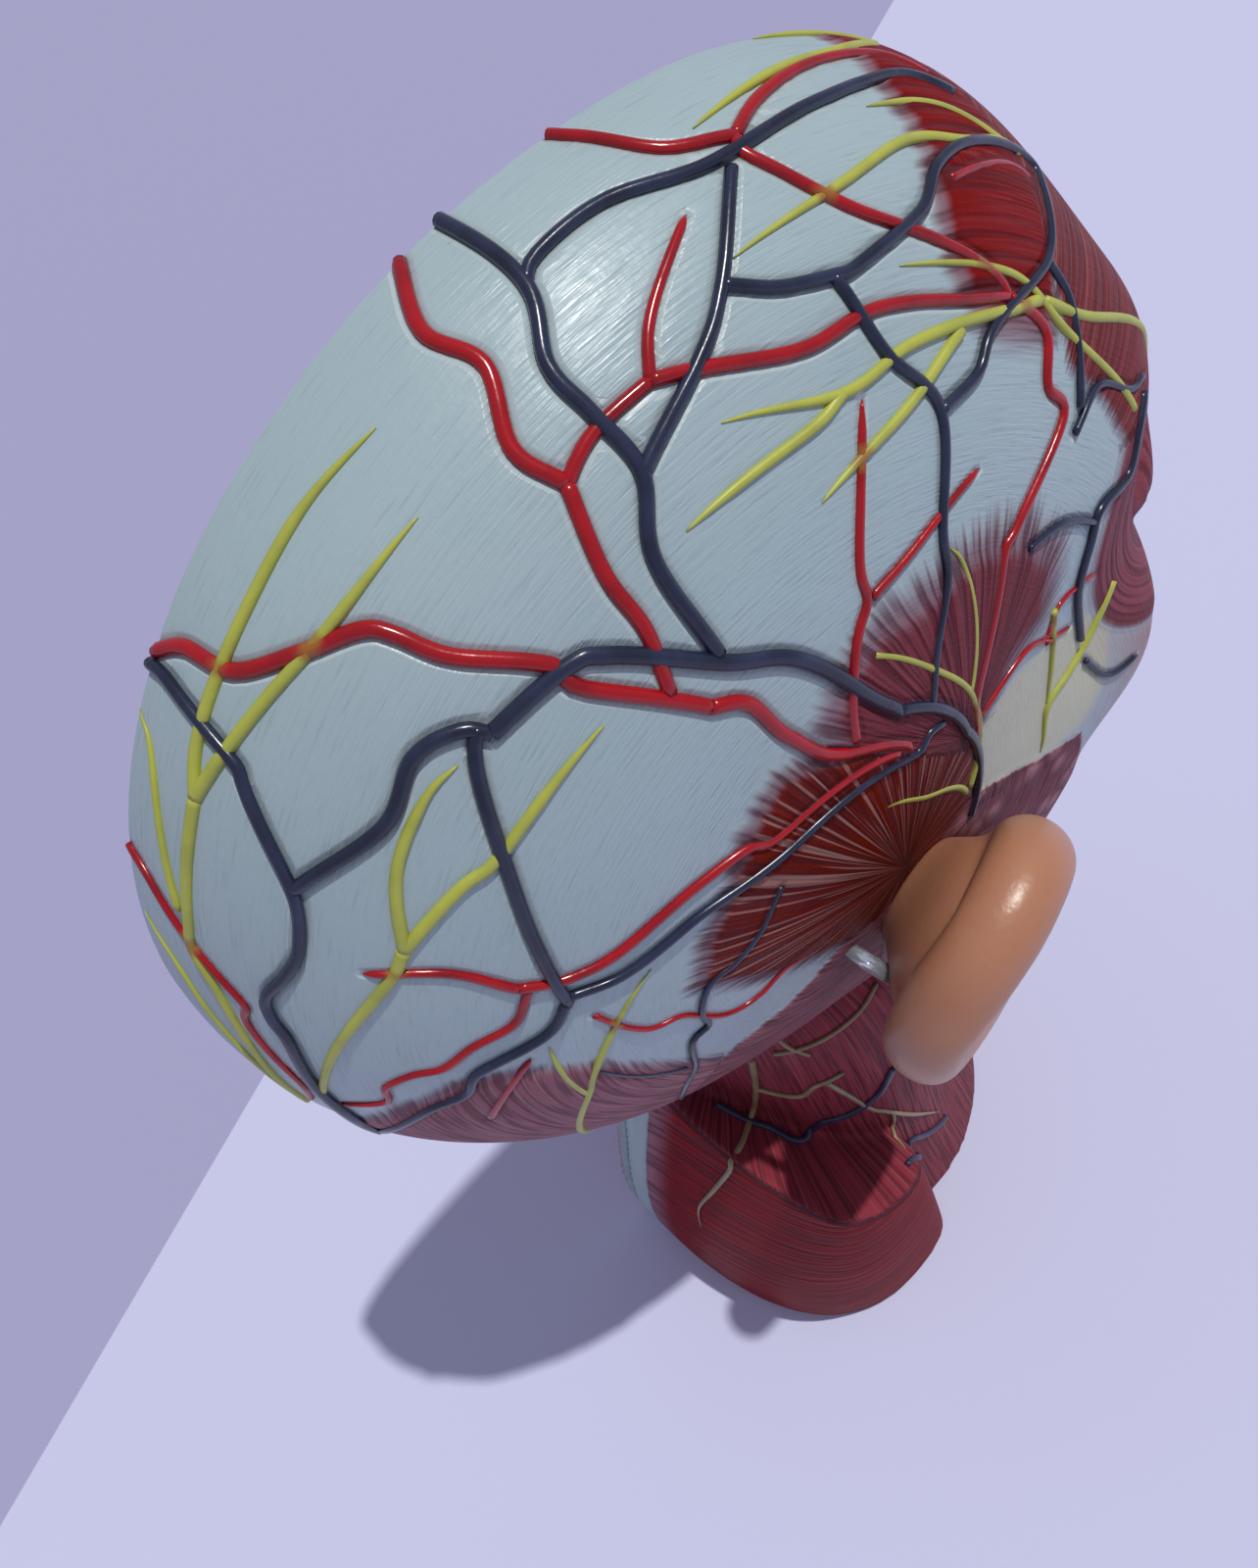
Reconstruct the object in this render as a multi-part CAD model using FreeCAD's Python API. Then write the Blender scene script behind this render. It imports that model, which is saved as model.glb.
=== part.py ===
import FreeCAD, Part
import math
import os

Vector = FreeCAD.Vector

# Right half of a life-size anatomical head, standing on its cut neck.
# X is positive across the median plane and negative towards the ear,
# the face looks along -Y and +Z is up. The origin is on the median edge
# of the flat neck base, halfway between its front and back.

# Skull, as the widest point above the ear and radii about it
half_width = 58.0
widest_y = -12.0
widest_z = 209.0
skull_squareness = 2.17
# Turn in degrees (0 forwards, 90 up, 180 back) and radius of the median outline
median_outline = [
    (0, 101.0), (9, 99.5), (22, 105.5), (40, 109.5), (60, 107.0), (80, 102.0), (100, 99.0),
    (120, 98.0), (140, 97.0), (160, 95.3), (180, 93.4), (200, 92.3), (220, 93.0),
    (240, 94.0), (260, 100.0), (280, 113.0), (300, 124.0), (312, 139.0), (319, 144.0),
    (326, 135.5), (333, 125.0), (341, 115.5), (350, 105.5)]
skull_turns = [-90, -75, -60, -50, -42, -34, -26, -18, -10, -2, 6, 15, 25, 40, 55, 70, 85,
               100, 115, 130, 145, 160, 175, 190, 205, 220, 235, 250, 260, 270]
skin_sides = [4, 14, 28, 42, 55, 67, 78, 90]
flat_tolerance = 0.01

# Places on the skull, face and ear are measured from the widest point: aside, behind and above
# Soft swellings and hollows of the skin: place, spread and lift
eye_aside = 31.0
eye_above = 3.0
brow_above = 20.0
skin_forms = [
    ((-26.0, -102.0, brow_above), 13.0, 3.0),
    ((-eye_aside, -82.0, eye_above), 12.0, -8.0),
    ((-46.0, -76.0, -17.0), 15.0, 4.0),
    ((-40.0, -90.0, -44.0), 15.0, -3.0),
    ((-52.0, -42.0, -51.0), 20.0, 5.0),
    ((-50.0, -24.0, -63.0), 15.0, 6.0),
    ((-36.0, -82.0, 14.0), 30.0, 12.5),
    ((-49.0, -64.0, -24.0), 17.0, 9.5)]

# Pieces of the face, in the same casting
nose_root = (0.0, -92.0, 17.0)
nose_root_radius = 4.2
nose_tip = (0.0, -123.0, -19.0)
nose_tip_radius = 8.5
tip_stretch = 2.0
nose_wing = (-10.0, -101.0, -19.0)
nose_wing_radius = 7.0
wing_stretch = 1.6
lid_behind = -78.0
lid_radii = (15.0, 13.0, 11.0)
mouth = (0.0, -106.0, -51.0)
lip_apart = 4.2
lip_radii = (22.0, 8.5, 5.0)

# Neck column: the ring on the base, then rings below the widest point (drop),
# each with its middle y, half length and half width
neck_base = (-4.0, 56.0, 62.0)
neck_rings = [(159.0, -6.0, 45.0, 57.0), (114.0, -12.0, 38.0, 56.0), (79.0, -14.0, 40.0, 54.0),
              (49.0, -14.0, 36.0, 45.0)]
neck_squareness = 2.0
neck_steps = 8

# Trapezius block at the back of the neck: base ring, then rings by drop, with rear y and half width
trapezius_base = (62.5, 74.0)
trapezius_rings = [(149.0, 48.5, 72.0), (119.0, 36.0, 68.5), (89.0, 24.0, 62.0)]
trapezius_front = -1.0
trapezius_corner = 9.0
trapezius_squareness = 2.4
trapezius_side_drop = 143.0
trapezius_slope = 35.0
trapezius_steps = 5

# Nuchal ridge, the pale median fin of the nape: y at the base, then (y, drop) going up
nuchal_base = 62.0
nuchal_line = [(53.5, 155.0), (40.0, 109.0), (38.0, 83.0)]
nuchal_half_width = 7.0

# Vessels and nerves in relief: width and height of each kind
artery_size = (3.6, 1.5)
vein_size = (4.0, 1.5)
nerve_size = (2.8, 0.9)
slender_share = 0.65
root_depth = 1.2
# Routes over the skin as (turn, side) angles, from the root outwards
arteries = {
    "front_branch": [(78, 90), (74, 83), (69, 81), (64, 83), (58, 84), (51, 85), (46, 84)],
    "brow_branch": [(69, 81), (69, 79), (63, 73), (50, 68), (47, 66)],
    "crown_branch": [(92, 90), (95, 84), (94, 79), (97, 74), (96, 70), (99, 64), (100, 59), (103, 54)],
    "crown_fork": [(96, 70), (92, 71), (86, 71), (74, 67), (65, 67), (54, 66), (47, 66)],
    "crown_twig": [(86, 71), (85, 73), (83, 74), (76, 78)],
    "rear_trunk": [(125, 90), (122, 82), (118, 78), (114, 75), (113, 73), (108, 63), (108, 60),
                   (101, 50), (97, 47), (95, 40), (87, 32), (60, 25)],
    "temple_branch": [(82, 32), (81, 37), (77, 44), (74, 51), (69, 62)],
    "temple_fork": [(73, 47), (65, 49), (52, 54)],
    "behind_ear": [(74, 26), (109, 30), (117, 34), (127, 38), (141, 44), (146, 49), (147, 54),
                   (144, 60), (145, 67)],
    "occiput_fork": [(147, 53), (154, 54), (158, 58), (163, 64), (166, 67), (172, 73)],
    "frontal_trunk": [(47, 66), (41, 63), (37, 59), (37, 55), (41, 49), (42, 45), (31, 31), (10, 26)],
    "face_branch": [(20, 29), (17, 38), (10, 42), (12, 47), (7, 51)]}
veins = {
    "crown_vein": [(88, 90), (88, 81), (91, 76), (91, 67), (95, 62), (96, 53)],
    "front_vein": [(88, 81), (86, 82), (80, 82), (71, 80), (62, 81), (51, 83), (46, 82)],
    "cross_vein": [(71, 79), (77, 73), (82, 70), (91, 67)],
    "brow_vein": [(77, 73), (66, 70), (57, 72), (53, 75), (47, 77), (38, 78), (38, 74), (40, 69),
                  (46, 66), (53, 61), (59, 59)],
    "cheek_vein": [(40, 69), (33, 59), (26, 61), (19, 63), (18, 58), (19, 52), (11, 48), (-3, 47)],
    "temple_vein": [(68, 70), (65, 64), (59, 59), (59, 50), (57, 45), (57, 37), (54, 30)],
    "side_trunk": [(116, 64), (107, 62), (104, 60), (96, 52), (88, 47), (77, 37), (68, 32), (33, 27),
                   (19, 26), (-31, 26)],
    "rear_vein": [(116, 64), (117, 66), (121, 68), (128, 68), (137, 73)],
    "ear_vein": [(116, 65), (119, 64), (129, 58), (140, 53), (151, 49)],
    "occiput_vein": [(126, 90), (126, 87), (128, 80), (130, 78), (137, 73), (147, 73), (154, 75),
                     (158, 74), (167, 74), (175, 74), (185, 75)],
    "low_vein": [(151, 49), (158, 51), (164, 58), (172, 64), (178, 69), (185, 75)],
    "mastoid_vein": [(150, 49), (147, 43), (137, 37), (113, 27), (60, 23), (45, 27)]}
nerves = {
    "front_nerve": [(75, 74), (64, 75), (55, 77), (42, 78)],
    "brow_nerve": [(61, 69), (50, 68), (42, 66), (36, 64), (21, 61)],
    "brow_fork": [(42, 66), (55, 64), (71, 63), (83, 66)],
    "brow_twig": [(55, 64), (64, 60), (77, 57)],
    "rear_nerve": [(102, 82), (117, 83), (128, 83), (133, 82), (145, 82), (154, 80), (163, 79),
                   (176, 79)],
    "rear_fork": [(105, 76), (115, 77), (123, 79), (133, 82)],
    "side_nerve": [(110, 57), (127, 59), (141, 64), (158, 70), (169, 74)],
    "side_fork": [(120, 65), (124, 66), (132, 66), (141, 64)]}
slender = ["temple_fork", "occiput_fork", "face_branch", "temple_vein", "cheek_vein", "mastoid_vein",
           "low_vein"]

# Median section casting that closes the half head, with its outlines as (behind, above)
section_thickness = 4.0
section_relief = 2.2
raised_relief = 1.2
organ_root = 0.5
scalp_and_skull = 14.0
cavity_turns = [8, 25, 45, 65, 85, 105, 125, 145, 165, 185, 205, 222]
skull_base = [(28.0, -63.0), (4.0, -59.0), (-14.0, -46.0), (-26.0, -19.0), (-44.0, -1.0), (-72.0, 13.0)]
cerebrum_gap = 3.0
cerebrum_turns = [12, 30, 50, 70, 90, 110, 130, 150, 168]
cerebrum_base = [(74.0, -13.0), (42.0, -5.0), (10.0, -3.0), (-22.0, 3.0), (-56.0, 9.0), (-78.0, 21.0)]
callosum = [(-60.0, 27.0), (-48.0, 41.0), (-18.0, 50.0), (14.0, 43.0), (28.0, 29.0), (20.0, 26.0),
            (6.0, 35.0), (-18.0, 41.0), (-42.0, 33.0), (-52.0, 23.0)]
thalamus = [(-30.0, 27.0), (-12.0, 32.0), (6.0, 27.0), (4.0, 15.0), (-16.0, 11.0), (-30.0, 17.0)]
cerebellum = [(26.0, -11.0), (50.0, -11.0), (66.0, -25.0), (60.0, -45.0), (40.0, -53.0), (24.0, -43.0),
              (20.0, -25.0)]
brain_stem = [(-8.0, 7.0), (8.0, 3.0), (14.0, -19.0), (16.0, -43.0), (12.0, -59.0), (2.0, -59.0),
              (-6.0, -41.0), (-16.0, -21.0), (-14.0, -5.0)]
nasal_cavity = [(-92.0, 9.0), (-72.0, 7.0), (-48.0, -11.0), (-36.0, -27.0), (-44.0, -37.0),
                (-72.0, -35.0), (-100.0, -31.0), (-110.0, -23.0), (-102.0, -9.0)]
conchae = [((-74.0, -1.0), 15.0, 3.0), ((-72.0, -12.0), 20.0, 4.0), ((-74.0, -25.0), 21.0, 4.0)]
tongue_groove = [(-96.0, -49.0), (-72.0, -41.0), (-50.0, -49.0), (-44.0, -69.0), (-52.0, -87.0),
                 (-76.0, -93.0), (-92.0, -85.0), (-98.0, -67.0)]
tongue_share = 0.86
# Throat and spinal canal: their upper stretch by (behind, above), their lower one as (y, z) from the base
throat_upper = [(-34.0, -113.0), (-38.0, -79.0), (-48.0, -49.0), (-41.0, -39.0), (-33.0, -47.0),
                (-26.0, -74.0), (-21.0, -109.0)]
throat_lower = [(-30.0, 60.0), (-29.0, 20.0), (-33.0, 14.0), (-37.0, 20.0), (-41.0, 60.0)]
canal_upper = [(8.0, -109.0), (5.0, -79.0), (5.0, -55.0), (11.0, -50.0), (17.0, -55.0), (19.0, -79.0),
               (22.0, -109.0)]
canal_lower = [(16.0, 55.0), (20.0, 22.0), (16.0, 14.0), (11.0, 22.0), (5.0, 55.0)]
vertebra_count = 7
vertebra_top = (-5.0, -69.0)
vertebra_base = (-2.0, 8.0)
disc_depth = 16.0
disc_height = 3.0

# Ear casting, in its own leaning and flared frame at the ear hole
ear_stand_off = 7.9
ear_behind = -21.0
ear_above = -23.0
ear_height = 62.0
ear_width = 38.0
ear_lean = 27.0
ear_flare = 6.0
ear_roll = 11.0
# Rim as shares of the width (back) and height (up), from the root of the helix
ear_rim = [(-0.10, 0.12), (-0.20, 0.28), (-0.12, 0.42), (0.16, 0.50), (0.50, 0.46), (0.76, 0.30),
           (0.82, 0.08), (0.74, -0.12), (0.52, -0.30), (0.30, -0.42), (0.08, -0.46), (-0.10, -0.34),
           (-0.14, -0.12)]
ear_hole = (0.16, -0.02)
# Rings of the bowl and of its hollow: share of the rim and distance outwards
bowl_rings = [(1.00, 6.0), (0.98, 1.0), (0.85, -4.0), (0.64, -9.0), (0.48, -18.0)]
hollow_rings = [(0.98, 12.0), (0.80, 6.0), (0.56, 0.0), (0.26, -6.0)]
# The helix starts at its root, then follows the rim with its own distance outwards
helix_radius = 7.0
helix_root = (0.10, 0.10, 2.0)
helix_heights = [5.0, 6.5, 7.5, 6.0, 5.0, 5.0, 5.0, 4.5]
inner_fold = [(0.46, 0.30, 3.5), (0.56, 0.14, 5.0), (0.52, -0.08, 5.0), (0.34, -0.24, 4.0)]
inner_fold_radius = 2.6
lobe_place = (0.12, -0.40, 1.0)
lobe_radii = (6.0, 8.5, 10.0)
tragus_place = (-0.12, -0.04, 1.0)
tragus_radii = (5.0, 5.0, 8.0)

# Clear tube that props the ear from behind: its foot is set into the skull
# and its head is a place in the ear's own frame
tube_radius = 1.6
tube_bore = 0.9
tube_set_in = 4.0
tube_behind = 8.5
tube_above = -18.5
tube_head = (0.63, 0.15, 1.8)


def outline_radius(turn):
    """Radius of the median outline at a turn angle, by a smooth curve."""
    turn = turn % 360
    knots = [(angle - 360, radius) for angle, radius in median_outline[-2:]]
    knots += median_outline
    knots += [(angle + 360, radius) for angle, radius in median_outline[:2]]
    for before, start, end, after in zip(knots, knots[1:], knots[2:], knots[3:]):
        if start[0] <= turn <= end[0]:
            span = end[0] - start[0]
            leave = (end[1] - before[1]) / (end[0] - before[0]) * span
            arrive = (after[1] - start[1]) / (after[0] - start[0]) * span
            s = (turn - start[0]) / span
            return (start[1] * (2 * s ** 3 - 3 * s ** 2 + 1)
                    + leave * (s ** 3 - 2 * s ** 2 + s)
                    + end[1] * (3 * s ** 2 - 2 * s ** 3)
                    + arrive * (s ** 3 - s ** 2))
    raise ValueError("turn outside the outline")


def head_point(aside, behind, above):
    """Place measured from the middle of the widest section."""
    return Vector(aside, widest_y + behind, widest_z + above)


def head_outline(points):
    """Outline on the median plane measured from the widest section, as (y, z)."""
    return [(widest_y + behind, widest_z + above) for behind, above in points]


def skin_point(turn, side):
    """Skin of the head: side is 0 at the widest point, 90 on the median plane."""
    across = max(math.cos(math.radians(side)), 0.0)
    along = math.sin(math.radians(side))
    power = skull_squareness
    radius = outline_radius(turn)
    reach = (across ** power / half_width ** power + along ** power / radius ** power) ** (-1 / power)
    out = Vector(-across, -along * math.cos(math.radians(turn)), along * math.sin(math.radians(turn)))
    point = head_point(0, 0, 0) + out * reach
    push = 0.0
    for place, spread, height in skin_forms:
        push += height * math.exp(-((point - head_point(*place)).Length / spread) ** 2)
    return point + out * push


def skin_normal(turn, side):
    """Outward direction of the skin."""
    step = 0.5
    side = min(max(side, 2 * step), 90 - step)
    turned = skin_point(turn + step, side) - skin_point(turn - step, side)
    aside = skin_point(turn, side + step) - skin_point(turn, side - step)
    normal = turned.cross(aside)
    normal.normalize()
    if normal.dot(skin_point(turn, side) - head_point(0, 0, 0)) < 0:
        normal = -normal
    return normal


def median_point(turn, inset):
    """Point of the median plane at a turn angle, inset from the outline."""
    radius = outline_radius(turn) - inset
    angle = math.radians(turn)
    return (widest_y - radius * math.cos(angle), widest_z + radius * math.sin(angle))


def solid_from(faces):
    """Closed solid from faces that share their edges."""
    shell = Part.Shell(faces)
    shell.sewShape()
    solid = Part.Solid(shell)
    if solid.Volume < 0:
        solid.reverse()
    return solid


def spline(points, start=None, finish=None):
    """Smooth curve through points, with its end directions if they are given."""
    curve = Part.BSplineCurve()
    if start:
        curve.interpolate(Points=points, InitialTangent=start, FinalTangent=finish)
    else:
        curve.interpolate(points)
    return curve.toShape()


def closed_spline(points):
    curve = Part.BSplineCurve()
    curve.interpolate(Points=points, PeriodicFlag=True)
    return Part.Wire(curve.toShape())


def scaled_ball(centre, radii):
    """Ellipsoid."""
    stretch = FreeCAD.Matrix()
    stretch.scale(*radii)
    ball = Part.makeSphere(1.0).transformGeometry(stretch)
    ball.translate(Vector(*centre))
    return ball


def swept_cord(points, radius):
    """Round cord along a smooth line."""
    profile = Part.Wire(Part.makeCircle(radius, points[0], points[1] - points[0]))
    return Part.Wire(spline(points)).makePipeShell([profile], True, True)


def make_skull():
    """Half skull with its face: one smooth skin, a tiny flat at the widest point, the median plane."""
    grid = [[skin_point(turn, side) for side in skin_sides] for turn in skull_turns]
    flat_x = grid[0][0].x
    for row in grid:
        row[0].x = flat_x
    surface = Part.BSplineSurface()
    surface.interpolate(grid)
    skin = surface.toShape()
    rims = [edge for edge in skin.Edges if edge.BoundBox.XLength < flat_tolerance]
    return solid_from([skin] + [Part.Face(Part.Wire([rim])) for rim in rims])


def superellipse(angle, squareness):
    """Unit superellipse point at an angle in degrees, as (across, along)."""
    across = abs(math.cos(math.radians(angle))) ** (2 / squareness)
    along = abs(math.sin(math.radians(angle))) ** (2 / squareness)
    return across, math.copysign(along, angle)


def neck_ring(level, middle, half_length, width):
    """D-shaped wire round one half of the neck."""
    points = []
    for step in range(neck_steps + 1):
        across, along = superellipse(-90 + 180 * step / neck_steps, neck_squareness)
        points.append(Vector(-width * across, middle + half_length * along, level))
    points[0].x = 0
    points[-1].x = 0
    outward = Vector(-1, 0, 0)
    return Part.Wire([spline(points, outward, -outward), Part.makeLine(points[-1], points[0])])


def make_neck():
    """Neck column from its flat base up into the skull."""
    rings = [neck_ring(0, *neck_base)]
    rings += [neck_ring(widest_z - drop, *sizes) for drop, *sizes in neck_rings]
    return Part.makeLoft(rings, True)


def trapezius_ring(level, rear, width):
    """Outline of the muscle block: round at the back, square at its front edge."""
    middle = trapezius_front + 2 * trapezius_corner
    points = []
    for step in range(trapezius_steps + 1):
        across, along = superellipse(90 - 90 * step / trapezius_steps, trapezius_squareness)
        points.append(Vector(-width * across, middle + (rear - middle) * along, level))
    points[0].x = 0
    points.append(Vector(-width + 1, trapezius_front + trapezius_corner, level))
    points.append(Vector(-width + trapezius_corner, trapezius_front, level))
    inner = Vector(0, trapezius_front, level)
    outer = spline(points, Vector(-1, 0, 0), Vector(1, -0.2, 0))
    return Part.Wire([outer, Part.makeLine(points[-1], inner), Part.makeLine(inner, points[0])])


def make_trapezius():
    """Muscle block whose top edge climbs from the side of the neck to the nape."""
    rings = [trapezius_ring(0, *trapezius_base)]
    rings += [trapezius_ring(widest_z - drop, *sizes) for drop, *sizes in trapezius_rings]
    reach = 2 * widest_z
    above = Part.makeBox(2 * reach, 2 * reach, reach, Vector(-reach, -reach, 0))
    tilt = FreeCAD.Rotation(Vector(1, 0, 0), trapezius_slope)
    above.Placement = FreeCAD.Placement(Vector(0, trapezius_front, widest_z - trapezius_side_drop), tilt)
    return Part.makeLoft(rings, True).cut(above)


def make_nuchal_ridge():
    line = [Vector(0, nuchal_base, 0)] + [Vector(0, y, widest_z - drop) for y, drop in nuchal_line]
    inner_base = Vector(0, 0, line[0].z)
    inner_top = Vector(0, 0, line[-1].z)
    wire = Part.Wire([spline(line), Part.makeLine(line[-1], inner_top),
                      Part.makeLine(inner_top, inner_base), Part.makeLine(inner_base, line[0])])
    return Part.Face(wire).extrude(Vector(-nuchal_half_width, 0, 0))


def make_nose():
    """Bridge, rounded tip and wing of the nose."""
    root = head_point(*nose_root)
    end = head_point(*nose_tip)
    sections = []
    for point, radius in ((root, nose_root_radius), (end, nose_tip_radius)):
        sections.append(Part.Wire(Part.makeCircle(radius, point + Vector(0, radius, 0), end - root)))
    bridge = Part.makeLoft(sections, True)
    tip = scaled_ball(end + Vector(0, tip_stretch * nose_tip_radius, 0),
                      (nose_tip_radius, tip_stretch * nose_tip_radius, nose_tip_radius))
    wing = scaled_ball(head_point(*nose_wing),
                       (nose_wing_radius, wing_stretch * nose_wing_radius, nose_wing_radius))
    return [bridge, tip, wing]


def make_lids():
    return scaled_ball(head_point(-eye_aside, lid_behind, eye_above), lid_radii)


def make_lips():
    """Upper and lower lip as two flattened spindles."""
    rises = (lip_apart, -lip_apart)
    return [scaled_ball(head_point(*mouth) + Vector(0, 0, rise), lip_radii) for rise in rises]


def make_ridge(route, width, height):
    """Raised cord on the skin: a roof-shaped strip rooted below the surface."""
    points = [skin_point(turn, side) for turn, side in route]
    normals = [skin_normal(turn, side) for turn, side in route]
    lines = []
    for aside, up in ((-0.5, -root_depth), (0.0, height), (0.5, -root_depth)):
        line = []
        for i, (point, normal) in enumerate(zip(points, normals)):
            along = points[min(i + 1, len(points) - 1)] - points[max(i - 1, 0)]
            sideways = along.cross(normal)
            sideways.normalize()
            line.append(point + sideways * (aside * width) + normal * up)
        lines.append(line)
    edges = [spline(line) for line in lines]
    faces = [Part.makeRuledSurface(first, second) for first, second in zip(edges, edges[1:] + edges[:1])]
    for end in (0, -1):
        corners = [line[end] for line in lines]
        faces.append(Part.Face(Part.makePolygon(corners + corners[:1])))
    return solid_from(faces)


def make_relief():
    ridges = []
    for group, (width, height) in ((arteries, artery_size), (veins, vein_size), (nerves, nerve_size)):
        for name, route in group.items():
            share = slender_share if name in slender else 1.0
            ridges.append(make_ridge(route, width * share, height * share))
    return ridges


def make_head():
    """Skull, face, neck and relief as one piece, before the section is taken off."""
    forms = [make_neck(), make_trapezius(), make_nuchal_ridge(), make_lids()]
    head = make_skull().fuse(forms + make_nose() + make_lips())
    for ridge in make_relief():
        head = head.fuse(ridge)
    return head.cut(section_slab(0, 2 * half_width))


def section_slab(start, thickness):
    """Slab parallel to the median plane, as large as the head."""
    reach = 2 * widest_z
    return Part.makeBox(thickness, 2 * reach, 2 * reach, Vector(start, -reach, -reach / 2))


def median_form(points, low, high):
    """Closed smooth outline on the median plane, made solid between two depths."""
    wire = closed_spline([Vector(low, y, z) for y, z in points])
    return Part.Face(wire).extrude(Vector(high - low, 0, 0))


def sunk(outline, floor):
    """Tool that cuts an outline down to a depth below the section's face."""
    return median_form(outline, floor, section_thickness)


def shrink(points, share):
    """The same outline drawn smaller about its own middle."""
    middle_y = sum(y for y, z in points) / len(points)
    middle_z = sum(z for y, z in points) / len(points)
    return [(middle_y + (y - middle_y) * share, middle_z + (z - middle_z) * share) for y, z in points]


def cut_discs(section, floor):
    """Grooves of the discs between the vertebral bodies."""
    top_y, top_z = head_outline([vertebra_top])[0]
    base_y, base_z = vertebra_base
    for i in range(vertebra_count):
        share = (i + 0.5) / vertebra_count
        y = top_y + (base_y - top_y) * share
        z = top_z + (base_z - top_z) * share
        disc = Part.makeBox(-floor, disc_depth, disc_height, Vector(floor, y - disc_depth / 2, z))
        section = section.cut(disc)
    return section


def make_section(head):
    """Median casting: the cut face with its cavities sunk and its organs raised in them."""
    whole = section_slab(-section_thickness, section_thickness)
    section = head.common(whole)
    floor = -section_relief
    root = floor - organ_root
    top = floor + raised_relief
    cavity = [median_point(turn, scalp_and_skull) for turn in cavity_turns] + head_outline(skull_base)
    throat = head_outline(throat_upper) + throat_lower
    canal = head_outline(canal_upper) + canal_lower
    mouth_floor = head_outline(tongue_groove)
    for outline in (cavity, head_outline(nasal_cavity), throat, mouth_floor, canal):
        section = section.cut(sunk(outline, floor))
    section = cut_discs(section, floor)
    cerebrum = [median_point(turn, scalp_and_skull + cerebrum_gap) for turn in cerebrum_turns]
    organs = median_form(cerebrum + head_outline(cerebrum_base), root, top)
    for outline in (callosum, thalamus):
        organs = organs.cut(sunk(head_outline(outline), top - raised_relief / 2))
    pieces = [median_form(head_outline(outline), root, top) for outline in (cerebellum, brain_stem)]
    pieces.append(median_form(shrink(mouth_floor, tongue_share), root, top))
    for middle, length, height in conchae:
        y, z = head_outline([middle])[0]
        ring = [(y - length, z), (y, z + height), (y + length, z), (y, z - height / 3)]
        pieces.append(median_form(ring, root, top))
    organs = organs.fuse(pieces)
    return section.fuse(organs.common(whole))


def ear_point(back, up, out):
    """Place of a point given in the ear's own frame, in shares of its width and height."""
    lean, flare, roll = (math.radians(angle) for angle in (ear_lean, ear_flare, ear_roll))
    level_back = Vector(0, math.cos(lean), -math.sin(lean))
    outward = Vector(-1, 0, 0)
    backward = level_back * math.cos(flare) + outward * math.sin(flare)
    away = outward * math.cos(flare) - level_back * math.sin(flare)
    rise = Vector(0, math.sin(lean), math.cos(lean)) * math.cos(roll) + away * math.sin(roll)
    hole = head_point(-half_width - ear_stand_off, ear_behind, ear_above)
    return hole + backward * (back * ear_width) + rise * (up * ear_height) + away * out


def ear_ring(share, out):
    """Ring of the ear bowl, drawn between the ear hole and the rim."""
    middle_back, middle_up = ear_hole
    points = []
    for back, up in ear_rim:
        ring_back = middle_back + (back - middle_back) * share
        ring_up = middle_up + (up - middle_up) * share
        points.append(ear_point(ring_back, ring_up, out))
    return closed_spline(points)


def make_ear():
    """Bowl of the ear, its rolled helix, inner fold, tragus and lobe."""
    bowl = Part.makeLoft([ear_ring(*ring) for ring in bowl_rings], True)
    hollow = Part.makeLoft([ear_ring(*ring) for ring in hollow_rings], True)
    rolled = [ear_point(*helix_root)]
    rolled += [ear_point(back, up, out) for (back, up), out in zip(ear_rim[1:], helix_heights)]
    helix = swept_cord(rolled, helix_radius)
    fold = swept_cord([ear_point(*place) for place in inner_fold], inner_fold_radius)
    lobe = scaled_ball(ear_point(*lobe_place), lobe_radii)
    tragus = scaled_ball(ear_point(*tragus_place), tragus_radii)
    return bowl.cut(hollow).fuse([helix, fold, lobe, tragus])


def make_tube():
    """Hollow clear tube between the skull and the back of the ear."""
    foot = head_point(tube_set_in - half_width, tube_behind, tube_above)
    run = ear_point(*tube_head) - foot
    rod = Part.makeCylinder(tube_radius, run.Length, foot, run)
    return rod.cut(Part.makeCylinder(tube_bore, run.Length, foot, run))


def largest(shape):
    """The main solid of a cut, without its crumbs."""
    return max(shape.Solids, key=lambda solid: solid.Volume)


def save(shape, name):
    shape.exportStep("parts/" + name + ".step")
    print(name, "valid", shape.isValid(), "solids", len(shape.Solids), "volume", round(shape.Volume))


def main():
    os.makedirs("parts", exist_ok=True)
    head = make_head()
    lateral = head.cut(section_slab(-section_thickness, section_thickness))
    ear = largest(make_ear().cut(lateral))
    tube = largest(make_tube().cut(lateral).cut(ear))
    save(lateral, "lateral_casting")
    save(make_section(head), "median_section")
    save(ear, "ear")
    save(tube, "ear_prop_tube")


main()
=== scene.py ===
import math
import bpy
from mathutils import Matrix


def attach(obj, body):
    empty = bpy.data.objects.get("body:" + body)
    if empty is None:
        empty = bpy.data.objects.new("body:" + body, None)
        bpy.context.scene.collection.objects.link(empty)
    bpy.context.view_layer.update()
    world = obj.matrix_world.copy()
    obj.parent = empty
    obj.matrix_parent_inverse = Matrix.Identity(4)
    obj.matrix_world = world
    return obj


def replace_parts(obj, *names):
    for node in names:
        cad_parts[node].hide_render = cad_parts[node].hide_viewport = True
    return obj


bl_info = {
    "name": "Half Head Anatomy Model",
    "version": (1, 0, 0),
    "blender": (4, 5, 0),
    "location": "View3D > Sidebar > Half Head",
    "description": "Hand-painted cast half head with muscles, vessels, nerves and a separate ear",
    "category": "Object",
}

import bmesh
import bpy
import numpy as np
from mathutils import Matrix, Vector, kdtree
from mathutils.bvhtree import BVHTree

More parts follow.
